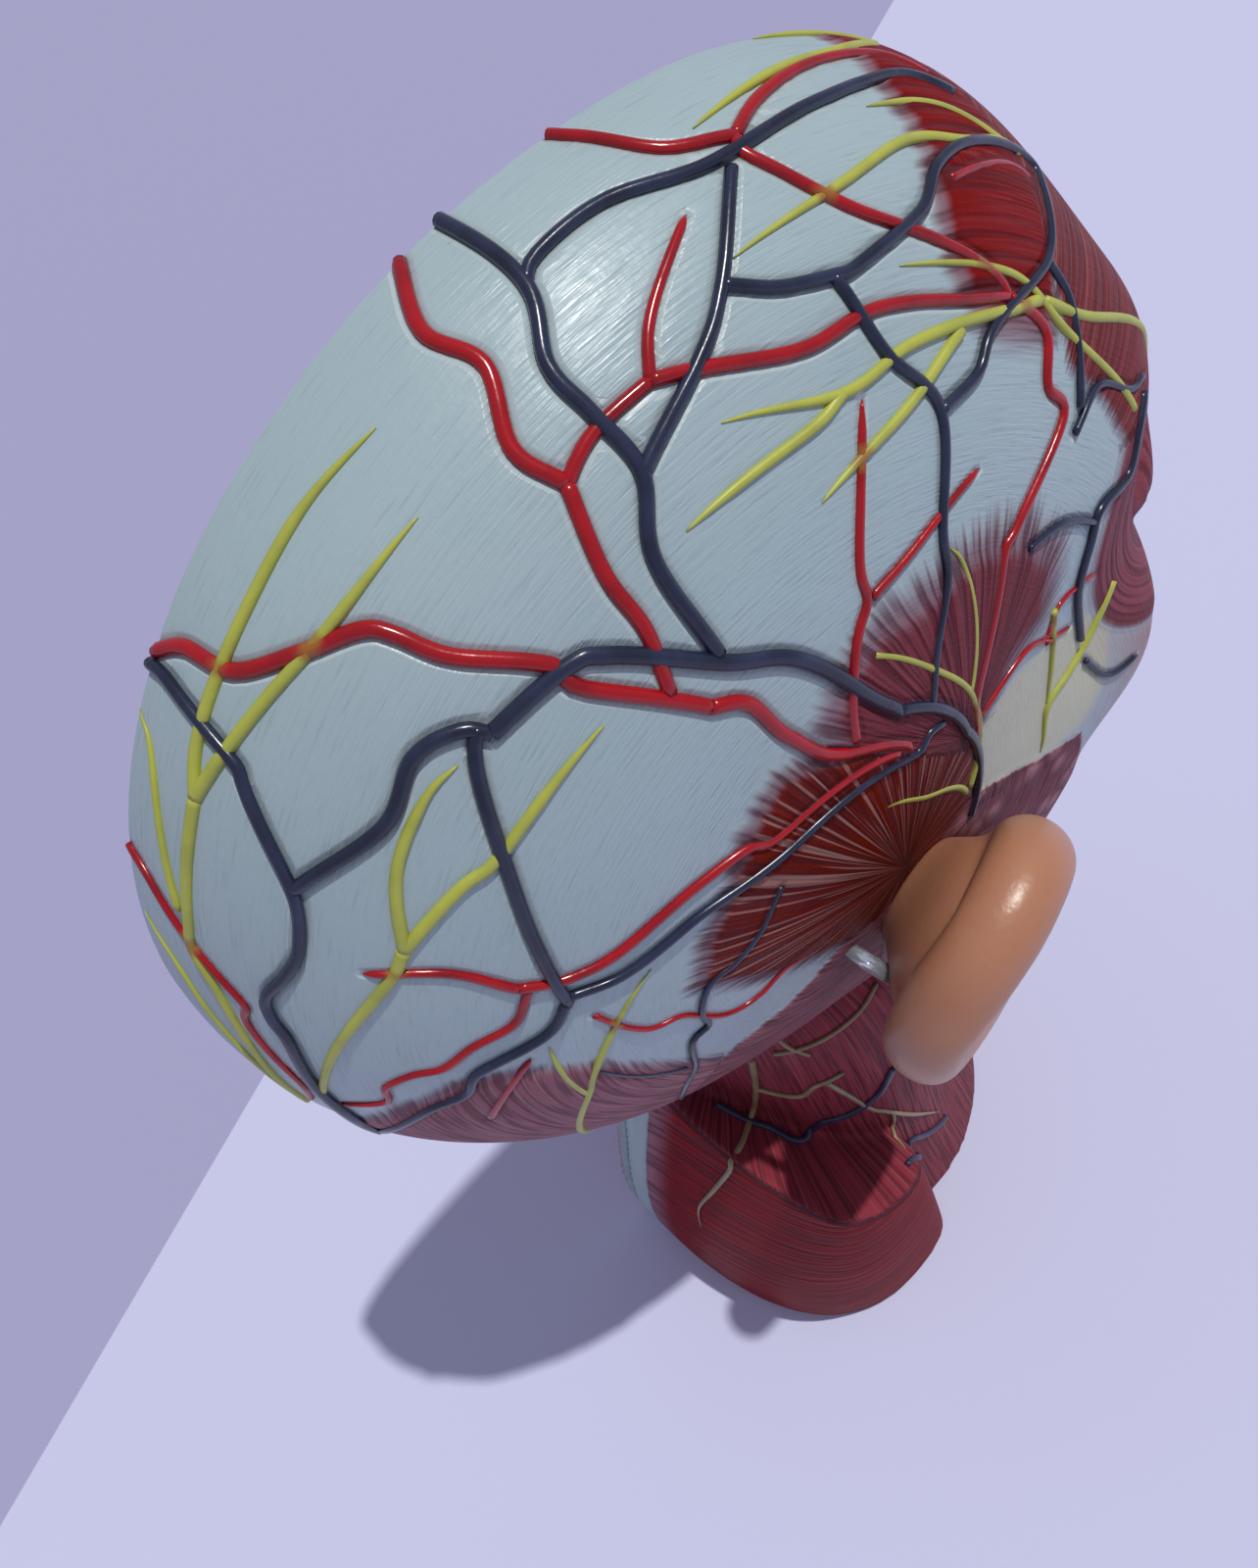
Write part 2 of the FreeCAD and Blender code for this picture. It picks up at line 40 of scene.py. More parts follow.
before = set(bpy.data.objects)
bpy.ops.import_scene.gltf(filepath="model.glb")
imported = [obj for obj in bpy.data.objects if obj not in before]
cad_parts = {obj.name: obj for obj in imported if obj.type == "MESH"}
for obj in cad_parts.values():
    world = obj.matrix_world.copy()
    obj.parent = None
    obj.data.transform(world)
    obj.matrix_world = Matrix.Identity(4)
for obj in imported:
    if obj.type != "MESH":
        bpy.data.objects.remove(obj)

# Places and sizes are in millimetres in this file; MM turns them to scene units
MM = 0.001

# Skull, as in the casting: half width, widest level, and the median outline as (turn, radius)
HALF_WIDTH = 58.0
WIDEST = np.array([0.0, -12.0, 209.0])
SQUARENESS = 2.17
MEDIAN_OUTLINE = [
    (0, 101.0), (9, 99.5), (22, 105.5), (40, 109.5), (60, 107.0), (80, 102.0), (100, 99.0),
    (120, 98.0), (140, 97.0), (160, 95.3), (180, 93.4), (200, 92.3), (220, 93.0),
    (240, 94.0), (260, 100.0), (280, 113.0), (300, 124.0), (312, 139.0), (319, 144.0),
    (326, 135.5), (333, 125.0), (341, 115.5), (350, 105.5)]
EYE_LEVEL = 212.0
EYE_ASIDE = 31.0
# Soft forms of brow, eye socket, cheek, jaw and temple: centre, spread and lift
SKIN_FORMS = [
    ((-26.0, -114.0, EYE_LEVEL + 17), 13.0, 3.0),
    ((-EYE_ASIDE, -94.0, EYE_LEVEL), 12.0, -8.0),
    ((-46.0, -88.0, 192.0), 15.0, 4.0),
    ((-40.0, -102.0, 165.0), 15.0, -3.0),
    ((-52.0, -54.0, 158.0), 20.0, 5.0),
    ((-50.0, -36.0, 146.0), 15.0, 6.0),
    ((-36.0, -94.0, 223.0), 30.0, 12.5),
    ((-49.0, -76.0, 185.0), 17.0, 9.5)]
SECTION_THICKNESS = 4.0
# Trim of the section plate: depth under the rim, lowest level, and the turns of the face it spares
UNDER_RIM = 0.8
PLATE_TRIM_LEVEL = 120.0
FACE_TURNS = (-64.0, 24.0)

# Face from the front: half sizes and levels, and how far each form is lifted off the bare skin
LID_HALF_WIDTH, LID_HALF_HEIGHT, LID_LIFT, LID_SLIT = 15.0, 11.0, 8.0, 0.9
NOSE_ROOT_LEVEL, NOSE_TIP_LEVEL, NOSE_TIP_RADIUS, NOSE_LIFT = 226.0, 190.0, 8.5, 19.0
WING_ASIDE, WING_LIFT = 11.0, 6.0
MOUTH_LEVEL, LIP_APART, LIP_LIFT = 158.0, 4.2, 3.2
LIP_HALF_WIDTH, LIP_HALF_HEIGHT = 22.0, 5.0
EYE_RING_CENTRE = (-EYE_ASIDE, -100.0, EYE_LEVEL)
EYE_RING_MIDDLE, EYE_RING_HALF = 6.0, 27.0

# Meshes: grids of the skin and the rim, voxels of the remeshed castings, spacing along vessels
SKIN_GRID = (560, 150)
RIM_GRID = (720, 5)
CASTING_VOXEL = 1.2
EAR_VOXEL = 0.7
LINE_SPACING, CORD_SPACING, NECK_CORD_SPACING = 0.8, 0.9, 1.0
MERGE = 1e-6
# Relief of the skin: a muscle over the bare cap, and the groove along a vessel's foot
MUSCLE_RISE = 0.5
GROOVE_DEPTH, GROOVE_AT, GROOVE_WIDTH = 0.1, 0.2, 0.5

# Neck: the level where the skull hides it, where the face hides it, how deep it hides there,
# the column's rings (level, middle, half length, half width) and the middle of its fibres
NECK_CUT = 165.0
FACE_FRONT = -82.0
HIDDEN_DEPTH, HIDDEN_BEHIND_FACE = 4.0, 2.0
NECK_LEVELS = [
    (0.0, -4.0, 56.0, 62.0), (50.0, -6.0, 45.0, 57.0), (95.0, -12.0, 38.0, 56.0),
    (130.0, -14.0, 40.0, 54.0), (160.0, -14.0, 36.0, 45.0)]
NECK_MIDDLE_Y = 5.0
NAPE_HALF_WIDTH = 9.0
# Trapezius block: its front, the level of its slanted top there and the rise of that top per mm
TRAPEZIUS_FRONT = -1.0
TRAPEZIUS_SIDE_TOP = 66.0
TRAPEZIUS_RISE = 0.70

# Vessels and nerves: width at the root and at the tip, then the route's points as (turn, side)
ARTERIES = [
    (1.8, 1.9, (78, 90), (77, 88), (74, 83), (69, 81)),
    (1.8, 1.4, (69, 81), (65, 83), (58, 85), (50, 86), (47, 85), (46, 84)),
    (1.8, 1.5, (69, 81), (69, 79), (63, 73), (50, 68), (47, 66)),
    (2.1, 2.1, (92, 90), (95, 84), (94, 79), (97, 74), (96, 70)),
    (1.9, 1.8, (96, 70), (92, 71), (86, 71)),
    (1.7, 0.7, (86, 71), (83, 74), (76, 78)),
    (1.9, 1.6, (86, 71), (74, 67), (65, 67), (54, 66), (47, 66)),
    (2.1, 2.1, (96, 70), (99, 64), (100, 59), (103, 54)),
    (2.2, 2.2, (125, 90), (123, 87), (122, 82), (118, 78), (114, 75), (113, 73), (112, 69),
     (108, 63), (108, 60), (101, 50)),
    (2.2, 1.8, (101, 50), (97, 47), (95, 40), (87, 32), (60, 25)),
    (1.8, 0.7, (82, 32), (81, 37), (77, 44), (74, 47), (74, 51), (69, 62)),
    (1.5, 0.6, (73, 47), (65, 49), (52, 54)),
    (1.7, 1.8, (66, 25), (109, 30), (117, 34), (127, 38), (141, 44), (146, 49), (147, 54)),
    (1.7, 0.7, (147, 54), (144, 60), (145, 67)),
    (1.5, 1.1, (147, 53), (154, 54), (158, 58), (162, 61), (163, 64), (166, 67), (170, 68),
     (172, 73)),
    (1.4, 1.2, (143, 90), (145, 86), (153, 78), (157, 78), (167, 76), (173, 77)),
    (1.7, 0.6, (179, 60), (164, 53)),
    (1.0, 1.0, (157, 46), (169, 40), (172, 35), (188, 30), (193, 25), (191, 19), (207, 14)),
    (1.8, 1.5, (47, 66), (41, 64), (40, 60), (36, 58), (41, 49), (42, 45), (31, 31), (10, 26)),
    (1.3, 0.9, (20, 29), (17, 38), (10, 42), (14, 45), (7, 51)),
    (1.0, 0.8, (8, 42), (3, 46)),
    (1.4, 0.8, (52, 74), (43, 76), (38, 76))]
VEINS = [
    (2.0, 2.1, (88, 90), (88, 81), (91, 76), (91, 72), (91, 67), (95, 62), (96, 53)),
    (1.8, 1.6, (88, 81), (86, 82), (80, 82), (72, 80), (62, 81), (56, 82), (50, 83), (45, 82)),
    (1.8, 2.0, (71, 79), (77, 73), (82, 70), (91, 67)),
    (1.7, 1.6, (77, 73), (73, 71), (68, 70), (65, 70), (57, 72), (53, 75), (47, 77), (37, 78),
     (37, 75), (40, 69), (50, 64), (53, 61), (59, 59)),
    (1.5, 1.3, (40, 69), (38, 68), (36, 66), (33, 59)),
    (1.3, 1.3, (20, 64), (23, 62), (30, 61), (33, 57)),
    (1.8, 1.5, (19, 63), (18, 60), (16, 57), (20, 53), (18, 51), (11, 48), (-3, 47)),
    (1.3, 1.0, (19, 52), (29, 50), (36, 47)),
    (1.2, 0.9, (-9, 47), (-16, 49), (-17, 53)),
    (1.6, 1.2, (68, 70), (65, 64), (59, 59), (59, 50), (57, 45), (57, 37), (54, 30)),
    (2.4, 2.3, (116, 64), (107, 62), (104, 60), (96, 52), (88, 47), (77, 37), (68, 32)),
    (2.1, 1.8, (68, 32), (33, 27), (19, 26), (-31, 26)),
    (2.1, 2.0, (116, 64), (117, 66), (121, 68), (128, 68), (137, 73)),
    (2.0, 2.0, (116, 65), (119, 64), (129, 58), (140, 53), (151, 49)),
    (1.8, 2.0, (126, 90), (126, 87), (128, 80), (130, 78), (137, 73), (143, 72), (147, 73),
     (151, 75), (154, 75), (158, 74), (167, 74), (175, 74), (185, 75)),
    (1.7, 1.6, (151, 49), (158, 51), (164, 58), (169, 60), (172, 64), (178, 69), (185, 75)),
    (1.7, 1.3, (150, 49), (147, 43), (137, 37), (113, 27), (60, 23), (51, 26), (45, 27)),
    (1.1, 1.1, (127, 24), (145, 24), (157, 27), (162, 31), (175, 33), (184, 33), (187, 36),
     (202, 40), (210, 45), (224, 55)),
    (0.9, 0.9, (176, 47), (200, 41))]
NERVES = [
    (0.5, 1.8, (71, 83), (61, 85), (55, 86), (48, 88)),
    (0.5, 1.3, (59, 90), (51, 90), (46, 90)),
    (1.8, 0.5, (39, 78), (42, 78), (48, 77), (55, 77), (64, 75), (75, 74)),
    (1.5, 0.5, (41, 78), (49, 80), (57, 80)),
    (1.8, 1.8, (13, 68), (17, 69), (32, 66), (41, 66)),
    (0.5, 1.7, (61, 69), (50, 68), (44, 67), (36, 64), (21, 61)),
    (1.9, 0.5, (42, 66), (48, 65), (62, 64), (71, 63), (83, 66)),
    (1.7, 0.5, (71, 63), (76, 62), (91, 62)),
    (1.8, 0.5, (55, 64), (64, 60), (77, 57)),
    (2.0, 0.5, (133, 82), (128, 83), (117, 83), (109, 83), (102, 82)),
    (2.0, 0.5, (133, 82), (123, 79), (115, 77), (105, 76)),
    (1.3, 2.0, (176, 79), (163, 79), (154, 80), (149, 82), (145, 82), (133, 82)),
    (1.4, 0.5, (145, 83), (133, 87), (130, 90)),
    (1.2, 0.5, (175, 79), (165, 81), (159, 83), (154, 85), (150, 89)),
    (1.4, 2.0, (169, 74), (158, 70), (146, 65), (141, 64)),
    (2.0, 0.5, (141, 64), (132, 61), (127, 59), (110, 57)),
    (2.0, 0.5, (141, 64), (132, 66), (124, 66), (120, 65)),
    (1.7, 0.5, (210, 62), (186, 51), (177, 48), (167, 45), (148, 40)),
    (1.3, 0.5, (184, 50), (162, 51)),
    (1.4, 1.1, (-13, 24), (25, 29), (36, 31), (56, 35), (74, 41)),
    (1.2, 0.5, (36, 31), (52, 45), (57, 48)),
    (1.7, 0.6, (0, 53), (-8, 45), (-13, 41), (-26, 41)),
    (1.3, 0.5, (15, 44), (-12, 41)),
    (1.5, 0.6, (-14, 23), (29, 15), (91, 17))]

# Neck vessels: widths, then the route's places beside the surface that they are laid on
NECK_VEINS = [
    (1.9, 1.9, (-24, 27, 86), (-32, 24, 85), (-37, 21, 83), (-44, 19, 81), (-45, 14, 80),
     (-46, 12, 84), (-49, 8, 86), (-51, 3, 89), (-54, -2, 95), (-55, -7, 106)),
    (1.6, 1.6, (-56, -18, 31), (-58, -10, 40), (-62, -2, 55), (-65, 4, 69))]
NECK_NERVES = [
    (1.8, 0.7, (-36, 16, 125), (-33, 18, 100), (-32, 22, 86), (-35, 28, 86), (-38, 36, 86),
     (-34, 44, 70), (-30, 50, 55), (-31, 53, 44)),
    (1.5, 1.1, (-33, 18, 100), (-39, 15, 101), (-43, 12, 102), (-46, 9, 110), (-48, 7, 112),
     (-50, 3, 116)),
    (1.5, 0.7, (-48, 7, 112), (-51, 4, 99), (-53, 1, 86), (-55, -3, 77), (-56, -16, 42)),
    (1.2, 0.7, (-55, -3, 77), (-56, -2, 70), (-62, 1, 67)),
    (1.3, 1.0, (-38, 17, 150), (-42, 12, 140), (-45, 6, 130)),
    (1.2, 1.0, (-41, 12, 132), (-47, 3, 136), (-50, -5, 140), (-50, -12, 144))]

# Muscle outlines as (turn, side)
FRONTALIS = [(52, 90), (52, 86), (53, 82), (53, 76), (54, 69), (52, 66), (50, 65), (40, 65),
             (39, 70), (39, 76), (43, 84), (44, 90)]
BROW = [(44, 90), (43, 84), (39, 76), (39, 70), (36, 62), (30, 61), (14, 58), (14, 72), (15, 82),
        (16, 90)]
EAR_FAN = [(85, 30), (85, 37), (79, 40), (72, 42), (49, 46), (38, 47), (27, 46), (21, 42),
           (24, 37), (20, 29), (11, 24), (40, 20)]
REAR_FAN = [(77, 29), (94, 33), (102, 36), (113, 35), (130, 32), (145, 32), (161, 32), (183, 21),
            (226, 15), (268, 18), (320, 18), (340, 24), (10, 26), (40, 24)]
OCCIPITALIS = [(182, 78), (172, 66), (167, 60), (167, 55), (173, 48), (186, 43), (212, 40),
               (232, 50), (232, 70), (216, 84)]
TEMPLE_PAD = [(-21, 25), (13, 28), (13, 36), (7, 43), (0, 49), (-8, 51), (-16, 49), (-25, 47),
              (-28, 41)]
GLAND = [(-40, 17), (-20, 24), (-28, 41), (-27, 47), (-39, 53), (-47, 53), (-49, 42)]
LOWER_NECK = [(214, 45), (214, 35), (223, 28), (240, 16), (290, 14), (312, 24), (322, 50),
              (312, 90), (214, 90)]

# Median section: depths of scalp and bone, then the organs, each as its paint and an outline
# of points (behind, above) the skull's widest point
SCALP_DEPTH = 4.0
BONE_DEPTH = 11.0
ORGANS = [
    ("#C98A7C", (74, -13), (42, -5), (10, -3), (-22, 3), (-56, 9), (-78, 21), (-86, 50),
     (-62, 84), (0, 96), (62, 78), (86, 30)),
    ("#EDE3CC", (-60, 27), (-48, 41), (-18, 50), (14, 43), (28, 29), (20, 26), (6, 35),
     (-18, 41), (-42, 33), (-52, 23)),
    ("#C39A78", (-30, 27), (-12, 32), (6, 27), (4, 15), (-16, 11), (-30, 17)),
    ("#CF8E5E", (26, -11), (50, -11), (66, -25), (60, -45), (40, -53), (24, -43), (20, -25)),
    ("#E3D5A8", (-8, 7), (8, 3), (14, -19), (16, -43), (12, -59), (2, -59), (-6, -41),
     (-16, -21), (-14, -5)),
    ("#B4504C", (-92, 9), (-72, 7), (-48, -11), (-36, -27), (-44, -37), (-72, -35), (-100, -31),
     (-110, -23), (-102, -9)),
    ("#A23A35", (-96, -49), (-72, -41), (-50, -49), (-44, -69), (-52, -87), (-76, -93),
     (-92, -85), (-98, -67)),
    ("#7E2C30", (-34, -113), (-38, -79), (-48, -49), (-41, -39), (-33, -47), (-26, -74),
     (-21, -109), (-18, -149), (-24, -189), (-37, -190), (-30, -150)),
    ("#D9CE86", (8, -109), (5, -79), (5, -55), (11, -50), (17, -55), (19, -79), (22, -109),
     (28, -154), (32, -187), (23, -187), (17, -154))]
SPINE = [(-12, -66), (4, -66), (2, -110), (10, -200), (-10, -200), (-14, -110)]
DISC_SPACING = 20.0
# Level below which there is no skull, and the paint of all other tissue
SKULL_FLOOR = -62.0
FLESH_PAINT = "#A8514A"


def linear(code):
    """Linear colour from an sRGB hex code."""
    parts = [int(code[i:i + 2], 16) / 255 for i in (1, 3, 5)]
    return (*(p / 12.92 if p <= 0.04045 else ((p + 0.055) / 1.055) ** 2.4 for p in parts), 1.0)


def smooth(low, high, value):
    """0 below low, 1 above high, eased between."""
    share = np.clip((value - low) / (high - low), 0, 1)
    return share * share * (3 - 2 * share)


def length(steps):
    """Lengths of the vectors in the last axis."""
    return np.linalg.norm(steps, axis=-1)


def unit(vectors):
    """Vectors of length 1 with the same directions."""
    return vectors / np.linalg.norm(vectors, axis=-1, keepdims=True)


def outline_radius(turn):
    """Radius of the median outline at turn angles, by a smooth curve through its points."""
    angles, radii = np.array(MEDIAN_OUTLINE).T
    angles = np.concatenate([angles[-2:] - 360, angles, angles[:2] + 360])
    radii = np.concatenate([radii[-2:], radii, radii[:2]])
    slopes = np.gradient(radii, angles)
    turn = np.mod(turn, 360)
    i = np.clip(np.searchsorted(angles, turn, side="right") - 1, 0, len(angles) - 2)
    span = angles[i + 1] - angles[i]
    s = (turn - angles[i]) / span
    return (radii[i] * (2 * s ** 3 - 3 * s ** 2 + 1) + slopes[i] * span * (s ** 3 - 2 * s ** 2 + s)
            + radii[i + 1] * (3 * s ** 2 - 2 * s ** 3) + slopes[i + 1] * span * (s ** 3 - s ** 2))


def skin(turn, side):
    """Points of the bare skin in mm, side 0 at the widest point and 90 on the median plane."""
    turn, side = np.broadcast_arrays(turn, side)
    across = np.maximum(np.cos(np.radians(side)), 1e-9)
    along = np.maximum(np.sin(np.radians(side)), 1e-9)
    reach = ((across / HALF_WIDTH) ** SQUARENESS
             + (along / outline_radius(turn)) ** SQUARENESS) ** (-1 / SQUARENESS)
    turn = np.radians(turn)
    out = np.stack([-across, -along * np.cos(turn), along * np.sin(turn)], -1)
    points = WIDEST + out * reach[..., None]
    push = sum(lift * np.exp(-(((points - centre) / spread) ** 2).sum(-1))
               for centre, spread, lift in SKIN_FORMS)
    return points + out * push[..., None]


def outward(turn, side):
    """Unit outward normals of the bare skin."""
    side = np.clip(side, 1.0, 89.5)
    normal = unit(np.cross(skin(turn + 0.5, side) - skin(turn - 0.5, side),
                           skin(turn, side + 0.5) - skin(turn, side - 0.5)))
    flip = (normal * (skin(turn, side) - WIDEST)).sum(-1) < 0
    normal[flip] *= -1
    return normal


def angles_of(points):
    """Turn and side angles of points seen from the widest point's middle."""
    away = points - WIDEST
    turn = np.degrees(np.arctan2(away[:, 2], -away[:, 1]))
    side = np.degrees(np.arctan2(np.hypot(away[:, 1], away[:, 2]), -away[:, 0]))
    return np.where(turn < -90, turn + 360, turn), side


def chart(turn, side):
    """Flat map of the half head: distance from the centre is the side angle."""
    turn = np.radians(turn)
    side = np.asarray(side, float)
    return np.stack([-side * np.cos(turn), side * np.sin(turn)], -1)


def bare_reach(turn, side):
    """Distance of the bare skin from the widest point's middle."""
    return length(skin(turn, np.minimum(side, 90.0)) - WIDEST)


def inside_distance(points, corners):
    """Signed distance of flat points to a closed outline, positive inside."""
    nearest = np.full(len(points), np.inf)
    crossed = np.zeros(len(points), bool)
    for start, end in zip(corners, np.roll(corners, -1, axis=0)):
        edge = end - start
        share = np.clip(((points - start) @ edge) / (edge @ edge), 0, 1)
        nearest = np.minimum(nearest, length(points - start - share[:, None] * edge))
        spans = (start[1] > points[:, 1]) != (end[1] > points[:, 1])
        reach = start[0] + (points[:, 1] - start[1]) * edge[0] / (edge[1] if edge[1] else 1e-9)
        crossed ^= spans & (points[:, 0] < reach)
    return np.where(crossed, nearest, -nearest)


def smooth_route(route, spacing, place):
    """Knots of a smooth curve through a route, at about that spacing in mm."""
    knots = np.array(route, float)
    knots = np.vstack([2 * knots[0] - knots[1], knots, 2 * knots[-1] - knots[-2]])
    pieces = []
    for a, b, c, d in zip(knots, knots[1:], knots[2:], knots[3:]):
        count = max(2, int(np.linalg.norm(place(*b) - place(*c)) / spacing))
        s = np.linspace(0, 1, count, endpoint=False)[:, None]
        pieces.append(0.5 * (2 * b + (c - a) * s + (2 * a - 5 * b + 4 * c - d) * s ** 2
                             + (3 * b - a - 3 * c + d) * s ** 3))
    pieces.append(knots[-2][None])
    return np.vstack(pieces)


def node(tree, kind, inputs=None, **settings):
    """Adds a node with its settings, and links or sets its inputs."""
    made = tree.nodes.new(kind)
    for name, value in settings.items():
        setattr(made, name, value)
    for key, value in (inputs or {}).items():
        if isinstance(value, bpy.types.NodeSocket):
            tree.links.new(value, made.inputs[key])
        else:
            made.inputs[key].default_value = value
    return made


def new_material(name, values):
    """Material with its node tree and its shader, which has those plain values."""
    material = bpy.data.materials.new(name)
    material.use_nodes = True
    tree = material.node_tree
    shader = tree.nodes["Principled BSDF"]
    for key, value in values.items():
        shader.inputs[key].default_value = value
    return material, tree, shader


def on_object(tree):
    """Place on the object, in metres."""
    return node(tree, "ShaderNodeTexCoord").outputs["Object"]


def stored(tree, name, output="Fac"):
    """Attribute of the mesh."""
    return node(tree, "ShaderNodeAttribute", attribute_name=name).outputs[output]


def noise(tree, where, scale, detail):
    """Soft noise with its middle at 0.5."""
    return node(tree, "ShaderNodeTexNoise",
                {"Vector": where, "Scale": scale, "Detail": detail}).outputs[0]


def mixed(tree, share, first, second):
    """Colour between two colours."""
    return node(tree, "ShaderNodeMix", {0: share, 6: first, 7: second}, data_type="RGBA").outputs[2]


def ranged(tree, value, low, high, start=0.0, end=1.0, way="LINEAR"):
    """Value moved from one range to another, and held at its ends."""
    return node(tree, "ShaderNodeMapRange",
                {"Value": value, "From Min": low, "From Max": high, "To Min": start, "To Max": end},
                interpolation_type=way).outputs[0]


def surface(tree, shader, colour, height, depth, strength):
    """Links a colour, and a height from 0 to 1 that stands for a depth in mm, to the shader."""
    bump = node(tree, "ShaderNodeBump",
                {"Height": height, "Distance": depth * MM, "Strength": strength})
    tree.links.new(colour, shader.inputs["Base Color"])
    tree.links.new(bump.outputs[0], shader.inputs["Normal"])


def add_object(name, data):
    """New object in the scene."""
    made = bpy.data.objects.new(name, data)
    bpy.context.scene.collection.objects.link(made)
    return made


def mesh_from(name, bm):
    """New mesh from a bmesh, which is freed."""
    mesh = bpy.data.meshes.new(name)
    bm.to_mesh(mesh)
    bm.free()
    return mesh


def object_from(name, mesh, material):
    """Finished piece that rides the casting, with its material slot."""
    piece = add_object(name, mesh)
    mesh.materials.clear()
    mesh.materials.append(material)
    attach(piece, "root")
    return piece


def coordinates(mesh):
    """Vertex places of a mesh in mm."""
    flat = np.empty(len(mesh.vertices) * 3)
    mesh.vertices.foreach_get("co", flat)
    return flat.reshape(-1, 3) / MM


def place_vertices(mesh, points, top_x=np.inf):
    """Moves the vertices to places in mm, none of them past top_x."""
    points[:, 0] = np.minimum(points[:, 0], top_x)
    mesh.vertices.foreach_set("co", (points * MM).ravel())
    mesh.update()


def set_attribute(mesh, name, values):
    """Stores one number, one vector or one colour per vertex."""
    kind, field = {1: ("FLOAT", "value"), 3: ("FLOAT_VECTOR", "vector"),
                   4: ("FLOAT_COLOR", "color")}[1 if values.ndim == 1 else values.shape[1]]
    layer = mesh.attributes.new(name, kind, "POINT")
    layer.data.foreach_set(field, values.astype(np.float32).ravel())


def wrapped_sheet(name, grid, place, close=True):
    """Grid of faces laid on a form; place(u, v) gives its points in mm for shares from 0 to 1."""
    bm = bmesh.new()
    bmesh.ops.create_grid(bm, x_segments=grid[0], y_segments=grid[1], size=0.5)
    mesh = bpy.data.meshes.new(name)
    bm.to_mesh(mesh)
    flat = coordinates(mesh) * MM
    place_vertices(mesh, place(flat[:, 0] + 0.5, flat[:, 1] + 0.5))
    bm.clear()
    bm.from_mesh(mesh)
    bmesh.ops.remove_doubles(bm, verts=bm.verts, dist=MERGE)
    edges = [edge for edge in bm.edges if edge.is_boundary]
    if close:
        bmesh.ops.holes_fill(bm, edges=edges, sides=0)
        for edge in edges:
            edge.smooth = False
    bmesh.ops.recalc_face_normals(bm, faces=bm.faces)
    for face in bm.faces:
        face.smooth = True
    bm.to_mesh(mesh)
    bm.free()
    return mesh


def skin_line_points(*groups):
    """Centre line points of groups of vessels, and the half width of the vessel at each."""
    places, halves = [], []
    for group in groups:
        for width, tip, *route in group:
            turn, side = smooth_route(route, LINE_SPACING, skin).T
            places.append(skin(turn, side))
            halves.append(np.linspace(width, tip, len(turn)) / 2)
    return np.vstack(places), np.concatenate(halves)


def distance_to(points, targets, halves=None):
    """Distance in mm from each point to the nearest target, or to its edge, up to FAR."""
    tree = kdtree.KDTree(len(targets))
    for i, target in enumerate(targets):
        tree.insert(target, i)
    tree.balance()
    found = [tree.find(p)[1:] for p in points]
    halves = np.zeros(len(targets)) if halves is None else halves
    return np.array([min(far - halves[i], FAR) for i, far in found])


# Length of one degree of side or turn on the skull, near enough for the paint
MM_PER_DEGREE = 1.65
# Distances to vessels are held at this, where they no longer show
FAR = 12.0

# Fibres that run from the median plane towards the side and a little down
ASIDE = ((1.0, 0.45), (0.0, 1.0))
# Muscles from the lowest layer up: outline, paint, feathered edge in mm, thread share, fibres
# Fibres run along the turn, or slanting as ASIDE, or out from a centre with a radius
MUSCLES = [
    (FRONTALIS, "#7C0E08", 8.0, 0.0, None),
    (BROW, "#7E3436", 3.0, 0.5, ASIDE),
    (OCCIPITALIS, "#9A626E", 6.0, 0.9, None),
    (LOWER_NECK, "#8A4E5A", 3.0, 0.9, None),
    (EAR_FAN, "#7A3640", 13.0, 0.15, ((24, 25), 34.0)),
    (REAR_FAN, "#6E1608", 9.0, 1.0, ((-47, 10), 40.0)),
    (GLAND, "#A05048", 1.5, 0.0, None)]
EYE_RING_PAINT = "#864450"
# Under the feathered edges, where no muscle's own paint lies
MUSCLE_PAINT = "#8A4038"


def fan_grain(points, centre, radius):
    """Across-fibre and along-fibre mm for fibres that run out from a centre on the chart."""
    away = points - chart(*centre)
    return np.arctan2(away[:, 1], away[:, 0]) * radius, length(away) * MM_PER_DEGREE


def outline_depth(flat, outline):
    """Depth in mm of points on the chart inside an outline, negative outside it."""
    return inside_distance(flat, chart(*zip(*outline))) * MM_PER_DEGREE


